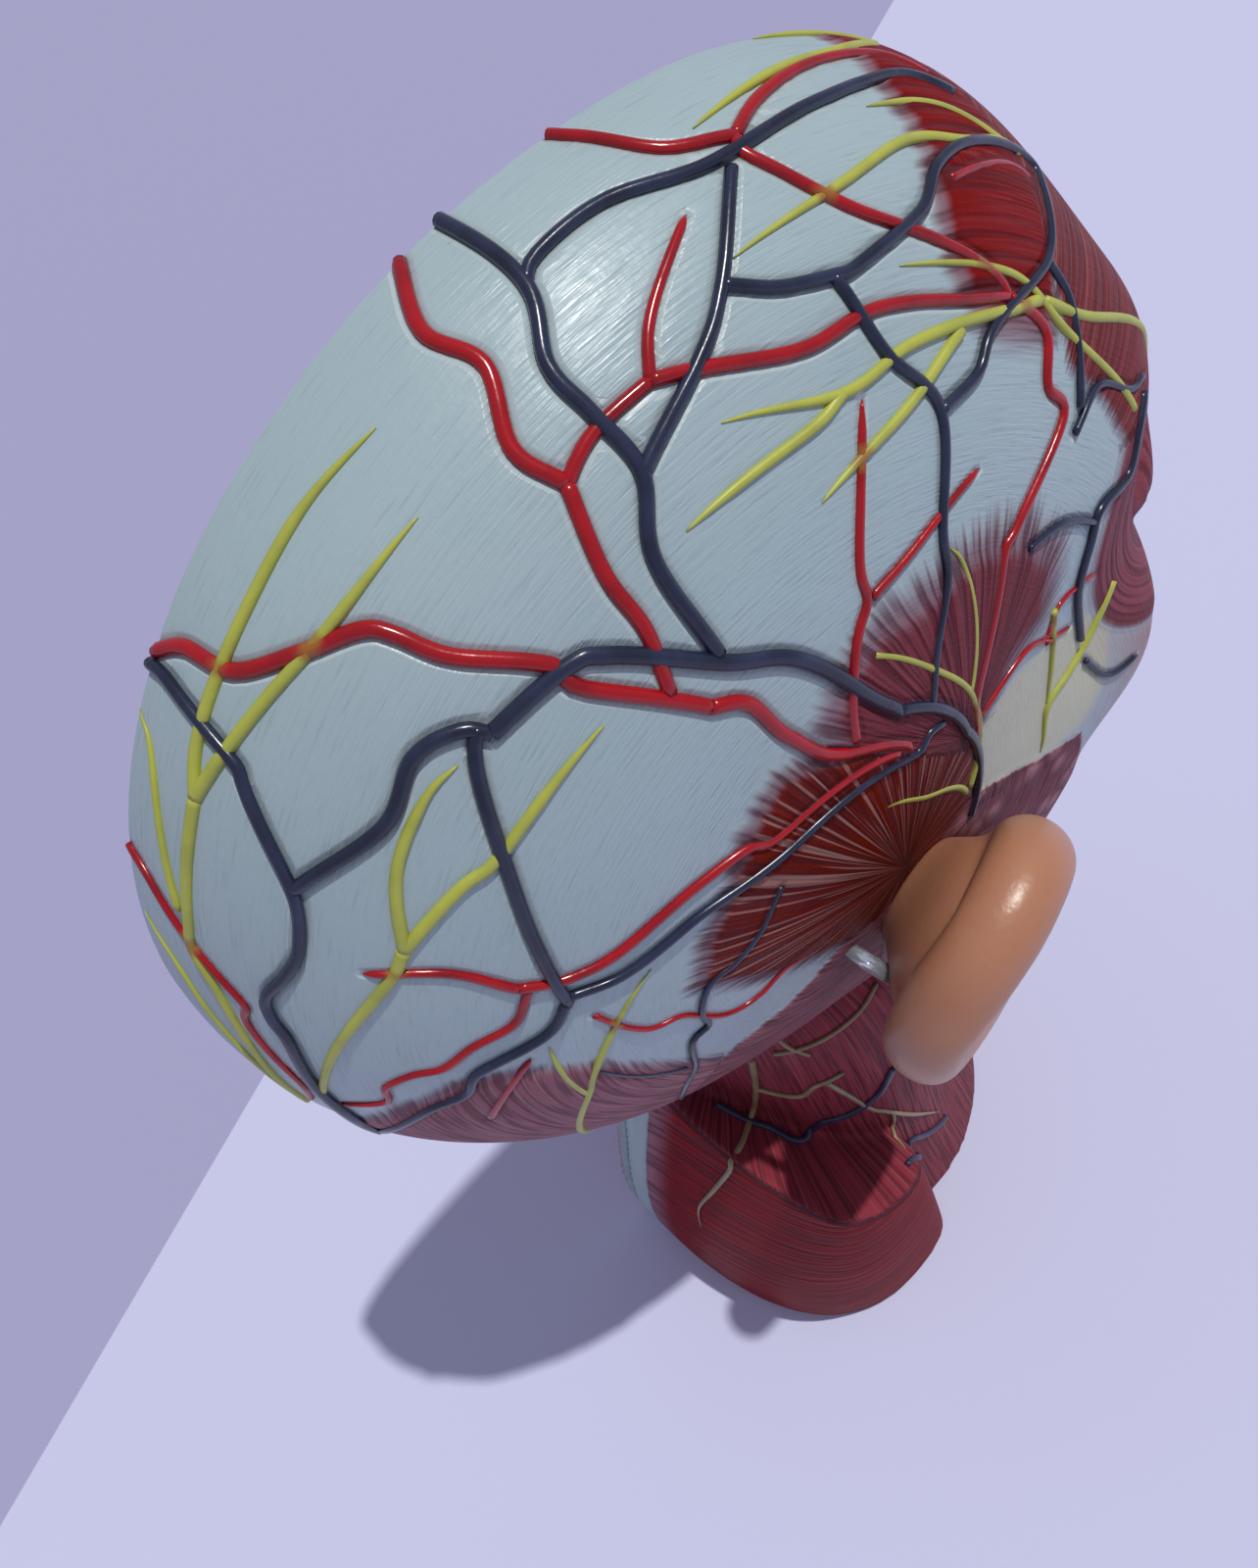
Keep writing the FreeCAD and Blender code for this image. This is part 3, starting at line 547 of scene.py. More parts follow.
def paint_head(mesh, points, turn, side, vessel_distance):
    """Writes the skull's paint masks and fibre directions, and gives the depth inside muscle."""
    flat = chart(turn, side)
    eye = length(points - EYE_RING_CENTRE)
    across = side * MM_PER_DEGREE
    along = turn * MM_PER_DEGREE
    deepest = np.full(len(points), -60.0)
    blush = np.zeros(len(points))
    red = np.zeros(len(points))
    threads = np.zeros(len(points))
    paint = np.tile(np.array(linear(MUSCLE_PAINT)), (len(points), 1))
    for outline, colour, edge, thread, fan in MUSCLES:
        depth = outline_depth(flat, outline)
        chosen = (depth > deepest) & (depth > -edge)
        blush = np.maximum(blush, smooth(-edge, 1.0, depth))
        red = np.maximum(red, smooth(-0.35 * edge, 0.35 * edge, depth))
        deepest = np.maximum(deepest, depth)
        paint[chosen] = linear(colour)
        threads[chosen] = thread
        if fan == ASIDE:
            fan_across, fan_along = [(t * turn + s * side) * MM_PER_DEGREE for t, s in ASIDE]
        elif fan:
            fan_across, fan_along = fan_grain(flat, *fan)
        if fan:
            across[chosen] = fan_across[chosen]
            along[chosen] = fan_along[chosen]
    ring = EYE_RING_HALF - np.abs(eye - EYE_RING_MIDDLE)
    chosen = (ring > deepest) & (ring > -3)
    deepest = np.maximum(deepest, ring)
    blush = np.maximum(blush, smooth(-3, 1, ring))
    red = np.maximum(red, smooth(-2, 2, ring))
    paint[chosen] = linear(EYE_RING_PAINT)
    across[chosen] = eye[chosen]
    along[chosen] = flat[chosen, 1]
    # The third number of the grain sets the fibres of neighbouring muscles apart
    write_paint(mesh, grain=np.stack([across, along, paint[:, 1] * 90], -1), blush=blush, red=red,
                paint=paint, threads=threads, vessel=vessel_distance,
                brush=np.stack([side, turn, np.zeros(len(points))], -1) * MM_PER_DEGREE,
                pad=smooth(-1.0, 1.5, outline_depth(flat, TEMPLE_PAD)),
                lumps=smooth(-1.0, 1.5, outline_depth(flat, GLAND)),
                face=smooth(18, 6, turn) * smooth(-62, -50, turn) * smooth(45, 60, side)
                * smooth(2, -4, deepest))
    return deepest


def write_paint(mesh, **masks):
    """Masks that the painted cast material reads."""
    for name, values in masks.items():
        set_attribute(mesh, name, values)


def face_lift(points, turn):
    """Lift of nose, lips and closed lids over the bare skin, in mm."""
    off_middle, level = np.abs(points[:, 0]), points[:, 2]
    aside, above = points[:, 0] + EYE_ASIDE, level - EYE_LEVEL
    lid = 1 - ((aside / LID_HALF_WIDTH) ** 2 + (above / LID_HALF_HEIGHT) ** 2)
    lift = LID_LIFT * np.sqrt(np.clip(lid, 0, 1))
    slit = (above + 4.0 - 0.012 * aside ** 2) / LID_SLIT
    lift -= LID_SLIT * np.exp(-slit ** 2) * smooth(0.05, 0.4, lid)
    ridge = smooth(NOSE_ROOT_LEVEL + 4, NOSE_TIP_LEVEL, level)
    base = NOSE_TIP_LEVEL - NOSE_TIP_RADIUS
    under = smooth(base - 3, base + 3, level)
    half = 5.0 + 5.0 * ridge
    lift += NOSE_LIFT * ridge ** 1.3 * under * np.exp(-(off_middle / half) ** 2.6)
    lift += WING_LIFT * np.exp(-((off_middle - WING_ASIDE) / 4.5) ** 2
                               - ((level - NOSE_TIP_LEVEL + 2) / 7.0) ** 2)
    for rise in (LIP_APART, -LIP_APART):
        lip = 1 - ((points[:, 0] / LIP_HALF_WIDTH) ** 2
                   + ((level - MOUTH_LEVEL - rise) / LIP_HALF_HEIGHT) ** 2)
        lift += LIP_LIFT * np.sqrt(np.clip(lip, 0, 1)) * smooth(20, 8, off_middle)
    return lift * smooth(30, 12, turn) * smooth(-60, -50, turn)


def dressed_skin(mesh, top_x):
    """Lifts muscles, sinks grooves beside the vessels and paints a head skin mesh."""
    points = coordinates(mesh)
    turn, side = angles_of(points)
    lines, halves = skin_line_points(ARTERIES, VEINS)
    distance = distance_to(points, lines, halves)
    deepest = paint_head(mesh, points, turn, side, distance)
    lift = MUSCLE_RISE * smooth(-2.0, 2.0, deepest)
    lift -= GROOVE_DEPTH * np.exp(-((distance - GROOVE_AT) / GROOVE_WIDTH) ** 2)
    lift += face_lift(points, turn)
    points = points + unit(points - WIDEST) * lift[:, None]
    place_vertices(mesh, points, top_x)


def seam_side(turn):
    """Side angle at which the skin meets the back of the section plate."""
    side = np.full(np.shape(turn), 87.5)
    for _ in range(4):
        side = np.degrees(np.arccos(SECTION_THICKNESS / length(skin(turn, side) - WIDEST)))
    return side


def painted_cast(fascia_paint):
    """Cast PVC painted by hand: pale fascia, airbrushed muscles with fine fibres, soft lacquer."""
    material, tree, shader = new_material("painted_cast_pvc", {"IOR": 1.5})

    def ease(value, low, high, begin=0.0, end=1.0):
        return ranged(tree, value, low, high, begin, end, "SMOOTHSTEP")

    def maths(kind, first, second):
        return node(tree, "ShaderNodeMath", {0: first, 1: second}, operation=kind).outputs[0]

    def times(first, second):
        return maths("MULTIPLY", first, second)

    def added(first, second):
        return maths("ADD", first, second)

    def streaks(way, across, along, detail):
        stretched = node(tree, "ShaderNodeVectorMath", {0: way, 1: (across, along, 1.0)},
                         operation="MULTIPLY")
        return node(tree, "ShaderNodeTexNoise", {"Vector": stretched.outputs[0], "Scale": 1.0,
                                                 "Detail": detail, "Roughness": 0.6}).outputs[0]

    grain = stored(tree, "grain", "Vector")
    brush = stored(tree, "brush", "Vector")
    where = on_object(tree)

    # Fibre bundles about 2 mm wide, fibres about 1 mm and brush hairs about 0.5 mm
    coarse = streaks(grain, 0.5, 0.03, 2.0)
    fibre = streaks(grain, 0.9, 0.03, 1.0)
    fine = streaks(brush, 1.9, 0.09, 2.0)
    cloud = noise(tree, where, 40.0, 4.0)
    speck = noise(tree, where, 900.0, 2.0)
    fascia = mixed(tree, ease(cloud, 0.4, 0.7, 0.0, 0.5), fascia_paint, linear("#A8BAC0"))
    fascia = mixed(tree, ease(fine, 0.55, 0.75, 0.0, 0.35), fascia, linear("#7F939B"))

    # Muscles: a mauve haze, then the red with ragged ends, dark lines, bundles and pale threads
    blush = stored(tree, "blush")
    red = stored(tree, "red")
    paint = stored(tree, "paint", "Color")
    ragged = times(maths("SUBTRACT", fibre, 0.5), ease(blush, 0.0, 0.35, 0.0, 0.75))
    cover = ease(added(blush, ragged), 0.18, 0.95)
    inner = ease(added(red, ragged), 0.25, 0.85)
    lines = ease(fibre, 0.47, 0.58)
    bundles = ease(coarse, 0.5, 0.66)
    threads = times(ease(streaks(grain, 1.5, 0.01, 0.0), 0.62, 0.67), stored(tree, "threads"))
    layers = [(times(cover, 0.85), mixed(tree, 0.45, paint, linear("#84687C"))),
              (inner, paint),
              (times(times(lines, cover), 0.5), linear("#3E1A22")),
              (times(times(bundles, inner), 0.08), linear("#B0545A")),
              (times(threads, times(inner, 0.45)), linear("#BE968C"))]

    # Pale pad of the temple, lumpy gland and plain face
    lumps = stored(tree, "lumps")
    pebbles = node(tree, "ShaderNodeTexVoronoi", {"Vector": where, "Scale": 170.0}).outputs[0]
    gland = mixed(tree, ease(pebbles, 0.1, 0.6), linear("#A8747C"), linear("#74404C"))
    layers += [(stored(tree, "pad"), linear("#C2C4AC")), (lumps, gland),
               (stored(tree, "face"), linear("#8C322C"))]

    # Painted shade in the corner beside a vessel, then a pale painted highlight on bare fascia
    vessel = stored(tree, "vessel")
    # Pale painted highlight a little off the vessel, where its raised edge would catch the light
    edge = times(ease(vessel, 0.2, 0.4), ease(vessel, 0.9, 0.6))
    edge = times(edge, maths("SUBTRACT", 1.0, cover))
    # Dark painted shade along the vessel's foot
    layers += [(times(ease(vessel, 0.3, 0.0), 0.45), linear("#4A3640")),
               (times(edge, 0.3), linear("#DCE6E8"))]
    colour = fascia
    for share, over in layers:
        colour = mixed(tree, share, colour, over)

    groove = ease(vessel, 0.0, 0.9)
    fibres = times(maths("SUBTRACT", 1.0, fibre), cover)
    height = added(times(groove, 0.4), times(fibres, 1.1))
    height = added(height, added(times(fine, -0.22), times(speck, 0.05)))
    height = added(height, times(times(pebbles, lumps), -1.6))
    surface(tree, shader, colour, height, 0.9, 0.9)
    gloss = added(ease(fine, 0.3, 0.7, 0.30, 0.42), times(cover, 0.12))
    tree.links.new(gloss, shader.inputs["Roughness"])
    tree.links.new(ease(cover, 0.0, 1.0, 0.5, 0.06), shader.inputs["Specular IOR Level"])
    return material


def enamel(name, main, shade, gloss):
    """Glossy enamel over cast PVC, uneven where the brush ran, brown where a nerve crosses."""
    material, tree, shader = new_material(name, {"Roughness": gloss, "IOR": 1.5})
    patches = noise(tree, on_object(tree), 140.0, 4.0)
    colour = mixed(tree, ranged(tree, patches, 0.42, 0.68), main, shade)
    colour = mixed(tree, stored(tree, "stain"), colour, linear("#9C6A2A"))
    surface(tree, shader, colour, patches, 0.35, 0.6)
    return material


RING_SIDES = 10
# Height of the neck's cords, how far their middle lies off the skin, and their tapered share
NECK_CORD_HEIGHT, NECK_CORD_LIFT, NECK_CORD_TAPER = 0.8, 0.3, 0.3
# A width below this marks a free end, which tapers over its last stretch only
FREE_END = 1.0


def cord_sheet(name, centres, sideways, normals, half_widths, height):
    """Closed cord half bedded in the skin, with its own width at each point."""
    count = len(centres)
    centres, sideways, normals = [np.concatenate([rows[:1], rows, rows[-1:]])
                                  for rows in (centres, sideways, normals)]
    half_widths = np.concatenate([[0.0], half_widths, [0.0]])

    def place(u, v):
        i = np.rint(u * (count + 1)).astype(int)
        angle = 2 * math.pi * v
        reach = half_widths[i]
        rise = np.minimum(reach * 0.95, height)
        return (centres[i] + sideways[i] * (np.cos(angle) * reach)[:, None]
                + normals[i] * (np.sin(angle) * rise)[:, None])

    return wrapped_sheet(name, (count + 1, RING_SIDES), place, close=False)


def cord_bundle(name, strands, height, lift, tip_share):
    """One mesh of cords; a strand is its width, tip width, centre points and outward normals."""
    bm = bmesh.new()
    for width, tip, centres, normals in strands:
        along = np.gradient(centres, axis=0)
        sideways = unit(np.cross(along, normals))
        share = np.linspace(0, 1, len(centres))
        widths = width + (tip - width) * share ** 1.3
        if tip < FREE_END:
            widths = width * (1 - 0.3 * share) * np.sqrt(np.clip((1 - share) / tip_share, 0.02, 1))
        if width < FREE_END:
            widths = tip * (0.7 + 0.3 * share) * np.sqrt(np.clip(share / tip_share, 0.02, 1))
        cord = cord_sheet(name, centres + normals * lift, sideways, normals, widths / 2, height)
        bm.from_mesh(cord)
        bpy.data.meshes.remove(cord)
    mesh = mesh_from(name, bm)
    place_vertices(mesh, coordinates(mesh), 0.0)
    return mesh


def skin_cords(name, group, height, lift, tip_share):
    """All cords of a kind, laid over the skull and stained where a nerve crosses an artery."""
    strands = []
    for width, tip, *route in group:
        turn, side = smooth_route(route, CORD_SPACING, skin).T
        strands.append((width, tip, skin(turn, side), outward(turn, side)))
    mesh = cord_bundle(name, strands, height, lift, tip_share)
    nerves = skin_line_points(NERVES)[0]
    crossed = nerves[distance_to(nerves, skin_line_points(ARTERIES)[0]) < 0.6]
    near = distance_to(coordinates(mesh), crossed)
    set_attribute(mesh, "stain", 0.85 * smooth(1.7, 0.9, near))
    return mesh


def neck_cords(name, group, tree):
    """All cords of a kind on the neck, each point moved to the nearest place on its surface."""
    strands = []
    for width, tip, *route in group:
        line = smooth_route(route, NECK_CORD_SPACING, lambda *place: np.array(place))
        found = [tree.find_nearest(Vector(point) * MM) for point in line]
        centres = np.array([place for place, normal, _, _ in found]) / MM
        normals = np.array([normal for place, normal, _, _ in found])
        for _ in range(3):
            centres[1:-1] = (centres[:-2] + centres[1:-1] + centres[2:]) / 3
            normals[1:-1] = (normals[:-2] + normals[1:-1] + normals[2:]) / 3
        centres = np.array([tree.find_nearest(Vector(point) * MM)[0] for point in centres]) / MM
        strands.append((width, tip, centres, unit(normals)))
    mesh = cord_bundle(name, strands, NECK_CORD_HEIGHT, NECK_CORD_LIFT, NECK_CORD_TAPER)
    set_attribute(mesh, "stain", np.zeros(len(mesh.vertices)))
    return mesh


def paint_neck(mesh):
    """Sinks the hidden head under its skin, and paints the column, the block and the nape ridge."""
    points = coordinates(mesh)
    turn, side = angles_of(points)
    away = points - WIDEST
    reach = length(away)
    bare = bare_reach(turn, side)
    sink = HIDDEN_DEPTH * smooth(bare + 5.0, bare + 2.0, reach)
    behind_face = np.maximum(sink, reach - bare + HIDDEN_BEHIND_FACE)
    sink = np.where(points[:, 1] < FACE_FRONT, behind_face, sink)
    points -= away * (sink / reach)[:, None]
    place_vertices(mesh, points, -SECTION_THICKNESS)
    x, y, z = points.T
    around = np.degrees(np.arctan2(y - NECK_MIDDLE_Y, -x))
    levels, *rings = np.array(NECK_LEVELS).T
    middle, half_length, width = [np.interp(z, levels, ring) for ring in rings]
    outside = np.hypot(x / width, (y - middle) / half_length) - 1
    top = TRAPEZIUS_SIDE_TOP + (y - TRAPEZIUS_FRONT) * TRAPEZIUS_RISE
    under_top = top - z
    block = smooth(0.02, 0.06, outside) * smooth(1.0, 3.5, under_top)
    # Crease under the block's slanted top, stored as a vessel distance: painted shade in its corner
    # and a groove bump
    shaded_crease = np.where((outside > 0.12) & (z < 112), np.abs(under_top - 2.0) - 0.7, FAR)
    behind = smooth(20, 30, y)
    nape = smooth(-NAPE_HALF_WIDTH - 1.5, -NAPE_HALF_WIDTH, x) * behind
    strip = smooth(-20, -NAPE_HALF_WIDTH, x) * behind
    sag = z + 0.0035 * (around - 20) ** 2
    across = np.where(block > 0.5, sag * 0.8, around * 1.05)
    along = np.where(block > 0.5, around, z)
    red, upright, mauve = [np.array(linear(code)) for code in ("#84060C", "#86323E", "#A57786")]
    paint = upright + (red - upright) * block[:, None]
    paint = paint + (mauve - paint) * strip[:, None]
    write_paint(mesh, grain=np.stack([across, along, block * 30], -1), blush=1 - nape, red=1 - nape,
                paint=paint, threads=0.25 * (1 - block), vessel=np.minimum(shaded_crease, FAR))


def merged_node(name, node_name):
    """Merged copy of a CAD node's mesh."""
    bm = bmesh.new()
    bm.from_mesh(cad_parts[node_name].data)
    bmesh.ops.remove_doubles(bm, verts=bm.verts, dist=MERGE)
    return mesh_from(name, bm)


def remeshed_node(name, node_name, voxel, rounds):
    """Copy of a casting's solid with its joints melted together, as a mould leaves them."""
    holder = add_object(name, merged_node(name, node_name))
    remesh = holder.modifiers.new("melt", "REMESH")
    remesh.mode = "VOXEL"
    remesh.voxel_size = voxel * MM
    remesh.use_smooth_shade = True
    soften = holder.modifiers.new("soften", "SMOOTH")
    soften.factor = 0.5
    soften.iterations = rounds
    graph = bpy.context.evaluated_depsgraph_get()
    mesh = bpy.data.meshes.new_from_object(holder.evaluated_get(graph))
    bpy.data.objects.remove(holder)
    mesh.name = name
    return mesh


# Levels between which the ear thins out into its pale lower end
THIN_LOBE = (156.0, 176.0)


def skin_plastic(paint):
    """Soft cast PVC in skin colour, unpainted and waxy: light sinks a little way in."""
    material, tree, shader = new_material("skin_coloured_pvc", {
        "Roughness": 0.34, "Subsurface Weight": 0.25, "Subsurface Scale": 1.0,
        "Subsurface Radius": (4 * MM, 2 * MM, 1 * MM)})
    where = on_object(tree)
    colour = mixed(tree, noise(tree, where, 60.0, 3.0), paint, linear("#A87254"))
    level = node(tree, "ShaderNodeSeparateXYZ", {0: where}).outputs["Z"]
    thin = ranged(tree, level, THIN_LOBE[1] * MM, THIN_LOBE[0] * MM, 0.0, 0.65)
    colour = mixed(tree, thin, colour, linear("#BFA094"))
    surface(tree, shader, colour, noise(tree, where, 900.0, 2.0), 0.12, 0.5)
    return material


def clear_tubing():
    """Clear extruded PVC tube: smooth, see-through, with bright edges."""
    return new_material("clear_pvc_tube", {
        "Base Color": linear("#E4EAEF"), "Roughness": 0.12, "Transmission Weight": 0.85,
        "IOR": 1.45})[0]


def section_paint():
    """Painted section of the cast: each tissue in its own flat colour with brush mottling."""
    material, tree, shader = new_material("section_paint_pvc", {"Roughness": 0.38})
    patches = noise(tree, on_object(tree), 160.0, 4.0)
    share = ranged(tree, patches, 0.35, 0.75, 0.0, 0.22)
    colour = mixed(tree, share, stored(tree, "tint", "Color"), linear("#6A3A30"))
    surface(tree, shader, colour, patches, 0.3, 0.6)
    return material


def tissue_tints(points):
    """Colour of each point of the section: scalp, bone, organs, spine and muscle."""
    flat = points[:, 1:] - WIDEST[1:]
    turn = np.degrees(np.arctan2(flat[:, 1], -flat[:, 0]))
    depth = outline_radius(turn) - length(flat)
    above = flat[:, 1] > SKULL_FLOOR
    tint = np.tile(np.array(linear(FLESH_PAINT)), (len(points), 1))

    def cover(share, code):
        tint[:] += (np.array(linear(code)) - tint) * share[:, None]

    def within(outline):
        return smooth(-0.6, 0.6, inside_distance(flat, np.array(outline, float)))

    skull = above * smooth(SCALP_DEPTH - 0.6, SCALP_DEPTH + 0.6, depth)
    skull = skull * ((turn > 5) | (turn < -125))
    cover(skull, "#E0D0AC")
    cover(skull * smooth(BONE_DEPTH - 0.6, BONE_DEPTH + 0.6, depth), "#B77F78")
    cover(above * smooth(SCALP_DEPTH, SCALP_DEPTH - 1.5, depth), "#BC8A6E")
    spine = within(SPINE)
    cover(spine, "#E0D2B0")
    gap = np.abs(np.mod(flat[:, 1], DISC_SPACING) - DISC_SPACING / 2)
    cover(spine * smooth(2.6, 1.4, gap), "#AEBBC4")
    for code, *outline in ORGANS:
        cover(within(outline), code)
    cover(smooth(-0.4, -1.2, points[:, 0]) * smooth(28, 34, points[:, 1])
          * smooth(118, 112, points[:, 2]), "#98A9AE")
    return tint


def paint_setting(name, description, code):
    """Colour setting, with its default from an sRGB hex code."""
    return bpy.props.FloatVectorProperty(name=name, description=description, subtype="COLOR",
                                         size=4, default=linear(code))


class HalfHeadColours(bpy.types.PropertyGroup):
    fascia: paint_setting("Fascia", "Paint of the bare skull cap", "#A3B7BC")
    artery: paint_setting("Artery", "Enamel of the arteries", "#A80D18")
    vein: paint_setting("Vein", "Enamel of the veins", "#1D2338")
    nerve: paint_setting("Nerve", "Enamel of the nerves", "#B4B84A")
    ear: paint_setting("Ear", "Colour of the soft ear", "#BC8468")


class HalfHeadSizes(bpy.types.PropertyGroup):
    lens: bpy.props.FloatProperty(
        name="Lens", description="Focal length of the camera in mm", default=35.34, unit="CAMERA")
    rise: bpy.props.FloatProperty(
        name="Vessel height", description="How far a vessel stands out of the skin",
        default=0.95 * MM, unit="LENGTH")
    sun_width: bpy.props.FloatProperty(
        name="Sun width", description="Angle of the sun that softens its shadows", default=0.02,
        subtype="ANGLE")


class HALFHEAD_OT_skull(bpy.types.Operator):
    """Build the painted skull, face and muscles of the lateral casting"""
    bl_idname = "halfhead.skull"
    bl_label = "Skull and face"

    def execute(self, context):
        def place(u, v):
            turn = -90 + 360 * u
            return skin(turn, seam_side(turn) * v)

        mesh = wrapped_sheet("skull_skin", SKIN_GRID, place)
        dressed_skin(mesh, -SECTION_THICKNESS)
        paint = painted_cast(tuple(context.scene.half_head_colours.fascia))
        object_from("skull_skin", mesh, paint)
        return {"FINISHED"}


class HALFHEAD_OT_rim(bpy.types.Operator):
    """Build the painted rim of the median section plate"""
    bl_idname = "halfhead.rim"
    bl_label = "Section rim"

    def execute(self, context):
        def place(u, v):
            turn = -90 + 360 * u
            seam = seam_side(turn)
            return skin(turn, seam + (90 - seam) * v)

        mesh = wrapped_sheet("section_rim", RIM_GRID, place, close=False)
        dressed_skin(mesh, 0.0)
        paint = bpy.data.materials["painted_cast_pvc"]
        object_from("section_rim", mesh, paint)
        return {"FINISHED"}


class HALFHEAD_OT_vessels(bpy.types.Operator):
    """Lay the arteries, veins and nerves over the skull"""
    bl_idname = "halfhead.vessels"
    bl_label = "Vessels and nerves"

    def execute(self, context):
        rise = context.scene.half_head_sizes.rise / MM
        colours = context.scene.half_head_colours
        # Each kind with its paint, the shade it runs to, its gloss, its lift and its tapered share
        kinds = (("arteries", ARTERIES, colours.artery, "#8C0A14", 0.2, 0.0, 0.08),
                 ("veins", VEINS, colours.vein, "#2B334E", 0.24, 0.3, 0.08),
                 ("nerves", NERVES, colours.nerve, "#A3A848", 0.4, 0.1, 0.3))
        for name, group, main, shade, gloss, lift, tip in kinds:
            mesh = skin_cords(name, group, rise, lift, tip)
            paint = enamel("enamel_" + name, tuple(main), linear(shade), gloss)
            object_from(name, mesh, paint)
        return {"FINISHED"}


class HALFHEAD_OT_neck(bpy.types.Operator):
    """Build the neck with its trapezius block, and the vessels on it"""
    bl_idname = "halfhead.neck"
    bl_label = "Neck"

    def execute(self, context):
        mesh = remeshed_node("neck", "lateral_casting", CASTING_VOXEL, rounds=4)
        bm = bmesh.new()
        bm.from_mesh(mesh)
        bmesh.ops.bisect_plane(bm, geom=bm.verts[:] + bm.edges[:] + bm.faces[:],
                               plane_co=(0, 0, NECK_CUT * MM), plane_no=(0, 0, 1), clear_outer=True)
        bmesh.ops.holes_fill(bm, edges=[edge for edge in bm.edges if edge.is_boundary], sides=0)
        bm.to_mesh(mesh)
        bm.free()
        paint_neck(mesh)
        paint = bpy.data.materials["painted_cast_pvc"]
        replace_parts(object_from("neck", mesh, paint), "lateral_casting")
        bm = bmesh.new()
        bm.from_mesh(mesh)
        tree = BVHTree.FromBMesh(bm)
        bm.free()
        kinds = (("neck_veins", NECK_VEINS, "#2A2A44", "#3C3A58"),
                 ("neck_nerves", NECK_NERVES, "#8E7C58", "#7C6A4C"))
        for name, group, main, shade in kinds:
            cords = neck_cords(name, group, tree)
            paint = enamel("enamel_" + name, linear(main), linear(shade), 0.34)
            object_from(name, cords, paint)
        return {"FINISHED"}


class HALFHEAD_OT_ear(bpy.types.Operator):
    """Build the soft skin-coloured ear and the clear tube behind it"""
    bl_idname = "halfhead.ear"
    bl_label = "Ear and prop tube"

    def execute(self, context):
        mesh = remeshed_node("ear_casting", "ear", EAR_VOXEL, rounds=14)
        paint = skin_plastic(tuple(context.scene.half_head_colours.ear))
        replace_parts(object_from("ear_casting", mesh, paint), "ear")
        mesh = merged_node("tube", "ear_prop_tube")
        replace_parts(object_from("tube", mesh, clear_tubing()), "ear_prop_tube")
        return {"FINISHED"}


class HALFHEAD_OT_section(bpy.types.Operator):
    """Build the median section with its painted tissues"""
    bl_idname = "halfhead.section"
    bl_label = "Median section"

    def execute(self, context):
        mesh = remeshed_node("section_face", "median_section", CASTING_VOXEL, rounds=2)
        points = coordinates(mesh)
        away = points - WIDEST
        turn, side = angles_of(points)
        # The plate's raised vessels end just under the painted rim; its face keeps its profile
        share = np.minimum(1, (bare_reach(turn, side) - UNDER_RIM) / length(away))
        trimmed = (turn > FACE_TURNS[1]) | (turn < FACE_TURNS[0])
        trimmed &= points[:, 2] > PLATE_TRIM_LEVEL
        place_vertices(mesh, WIDEST + away * np.where(trimmed, share, 1)[:, None])
        set_attribute(mesh, "tint", tissue_tints(coordinates(mesh)))
        plate = object_from("section_face", mesh, section_paint())
        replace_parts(plate, "median_section")
        return {"FINISHED"}


# Camera, as a place and axes in the row frame, above the ear and a little behind it
CAMERA_PLACE = (-128.98, 38.81, 395.14)
CAMERA_RIGHT = (-0.6518, -0.7099, -0.2669)
CAMERA_UP = (0.5506, -0.6849, 0.4774)
# Joint of the two floor papers: the side it faces and how far it lies from the origin
PAPER_JOINT_SIDE = (0.936, 0.351, 0.0)
PAPER_JOINT_AT = 174.0
# Direction to the sun, high over the face and a little on the ear's side, with its light
SUN = (-0.15, -0.30, 0.94)
SUN_COLOUR = (1.0, 1.0, 0.94)
SUN_STRENGTH = 2.3
ROOM_LIGHT = (0.30, 0.30, 0.38, 1.0)
FLOOR_HALF = 4.0
SENSOR_WIDTH = 36.0


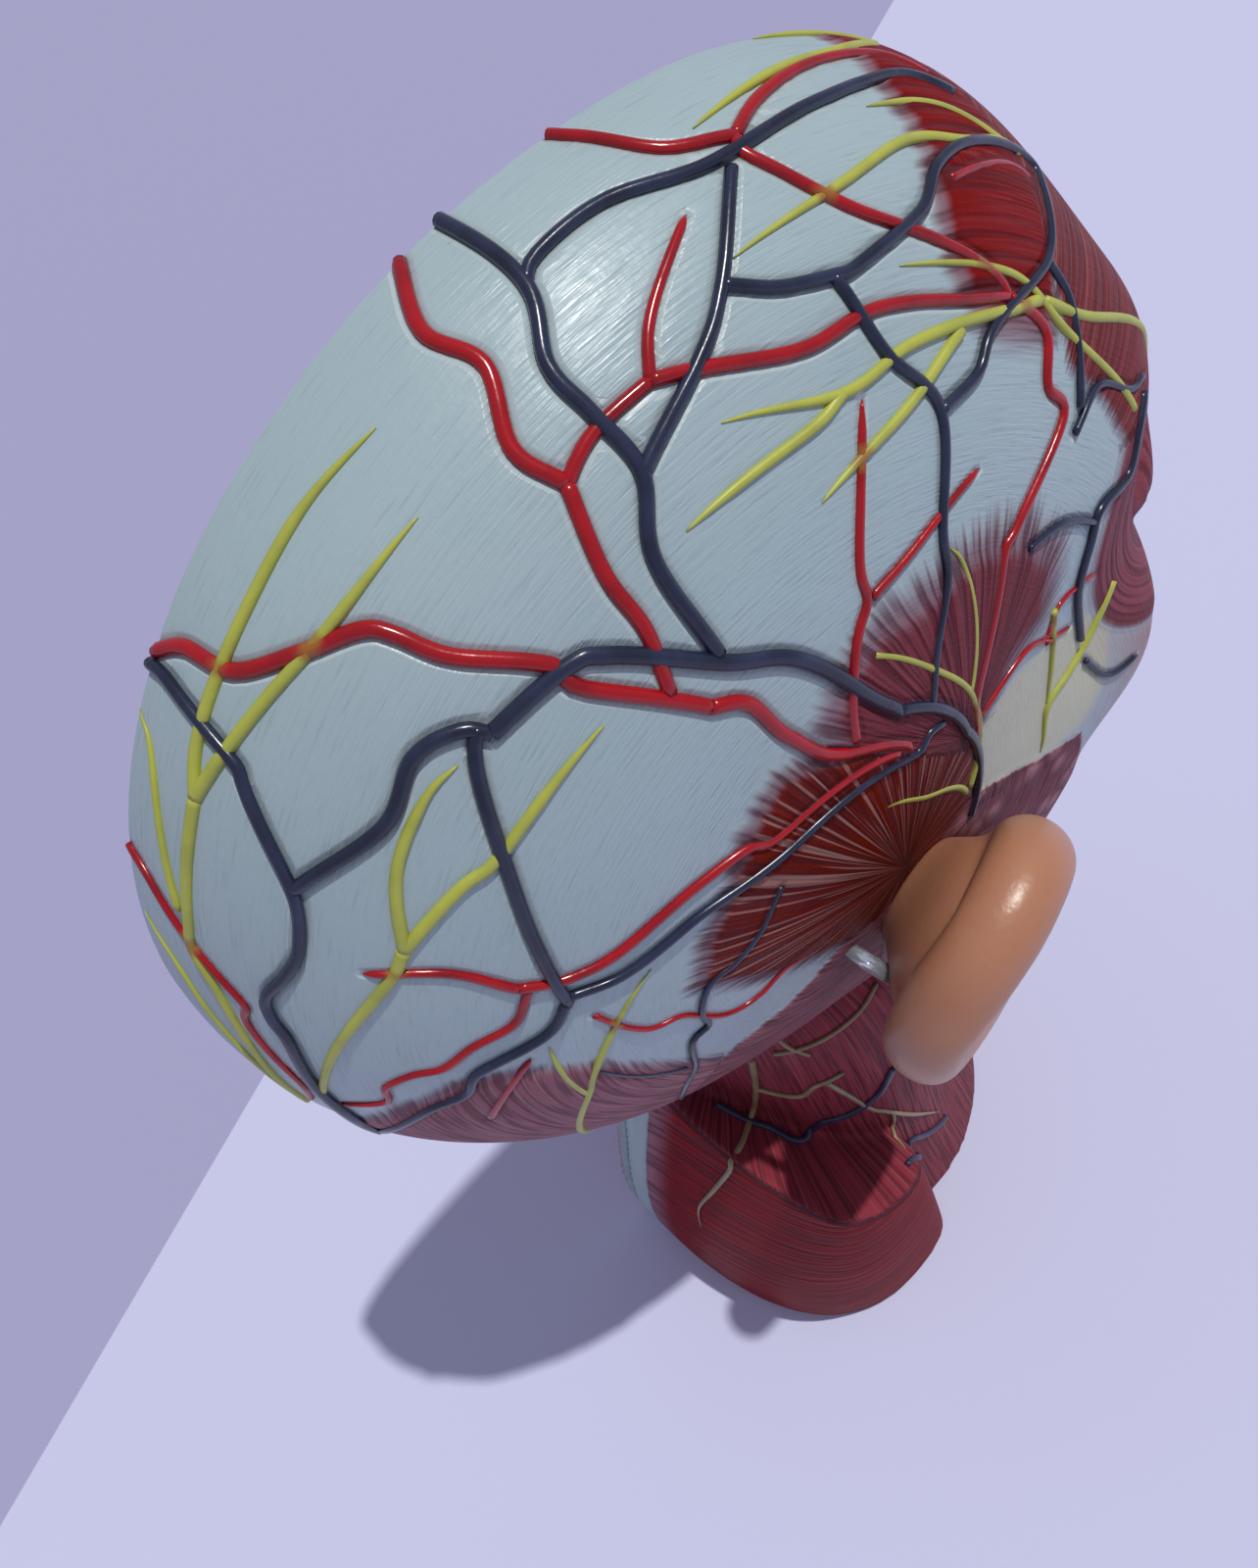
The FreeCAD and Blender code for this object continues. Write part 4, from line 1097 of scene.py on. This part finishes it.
class HALFHEAD_OT_stage(bpy.types.Operator):
    """Build the floor, the sunlight and the camera"""
    bl_idname = "halfhead.stage"
    bl_label = "Stage"

    def execute(self, context):
        scene = context.scene
        sizes = scene.half_head_sizes
        bm = bmesh.new()
        bmesh.ops.create_grid(bm, x_segments=1, y_segments=1, size=FLOOR_HALF)
        mesh = mesh_from("floor", bm)
        floor = add_object("floor", mesh)
        # Two sheets of matt paper: the far one is darker, and their joint is straight
        material, tree, shader = new_material("matt_paper_floor", {"Roughness": 0.9})
        beyond = node(tree, "ShaderNodeVectorMath", {0: on_object(tree), 1: PAPER_JOINT_SIDE},
                      operation="DOT_PRODUCT")
        far = node(tree, "ShaderNodeMath", {0: beyond.outputs["Value"], 1: PAPER_JOINT_AT * MM},
                   operation="GREATER_THAN")
        paper = mixed(tree, far.outputs[0], linear("#C8C9E6"), linear("#A3A2C4"))
        tree.links.new(paper, shader.inputs["Base Color"])
        mesh.materials.append(material)

        world = bpy.data.worlds.new("room")
        world.use_nodes = True
        background = world.node_tree.nodes["Background"]
        background.inputs["Color"].default_value = ROOM_LIGHT
        background.inputs["Strength"].default_value = 1.0
        scene.world = world

        light = bpy.data.lights.new("sun", "SUN")
        light.color = SUN_COLOUR
        light.energy = SUN_STRENGTH
        light.angle = sizes.sun_width
        lamp = add_object("sun", light)
        lamp.rotation_euler = Vector(SUN).to_track_quat("Z", "Y").to_euler()
        camera_data = bpy.data.cameras.new("camera")
        camera_data.sensor_fit = "HORIZONTAL"
        camera_data.sensor_width = SENSOR_WIDTH
        camera_data.lens = sizes.lens
        camera_data.clip_start = 0.01
        camera = add_object("camera", camera_data)
        right, up = Vector(CAMERA_RIGHT), Vector(CAMERA_UP)
        turned = Matrix((right, up, right.cross(up))).transposed().to_4x4()
        camera.matrix_world = Matrix.Translation(Vector(CAMERA_PLACE) * MM) @ turned
        scene.camera = camera
        scene.view_settings.view_transform = "Standard"
        return {"FINISHED"}


class HALFHEAD_PT_panel(bpy.types.Panel):
    """Half head building steps"""
    bl_label = "Half Head"
    bl_idname = "HALFHEAD_PT_panel"
    bl_space_type = "VIEW_3D"
    bl_region_type = "UI"
    bl_category = "Half Head"

    def draw(self, context):
        for operator in OPERATORS:
            self.layout.operator(operator.bl_idname)
        for group in (context.scene.half_head_colours, context.scene.half_head_sizes):
            for name in group.__annotations__:
                self.layout.prop(group, name)


OPERATORS = (HALFHEAD_OT_skull, HALFHEAD_OT_rim, HALFHEAD_OT_vessels, HALFHEAD_OT_neck,
             HALFHEAD_OT_ear, HALFHEAD_OT_section, HALFHEAD_OT_stage)
CLASSES = (HalfHeadColours, HalfHeadSizes) + OPERATORS + (HALFHEAD_PT_panel,)


def register():
    for each in CLASSES:
        bpy.utils.register_class(each)
    bpy.types.Scene.half_head_colours = bpy.props.PointerProperty(type=HalfHeadColours)
    bpy.types.Scene.half_head_sizes = bpy.props.PointerProperty(type=HalfHeadSizes)


def unregister():
    del bpy.types.Scene.half_head_sizes
    del bpy.types.Scene.half_head_colours
    for each in reversed(CLASSES):
        bpy.utils.unregister_class(each)


def main():
    register()
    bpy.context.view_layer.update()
    bpy.ops.halfhead.skull()
    bpy.ops.halfhead.rim()
    bpy.ops.halfhead.vessels()
    bpy.ops.halfhead.neck()
    bpy.ops.halfhead.ear()
    bpy.ops.halfhead.section()
    bpy.ops.halfhead.stage()
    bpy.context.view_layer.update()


if __name__ == "__main__":
    main()
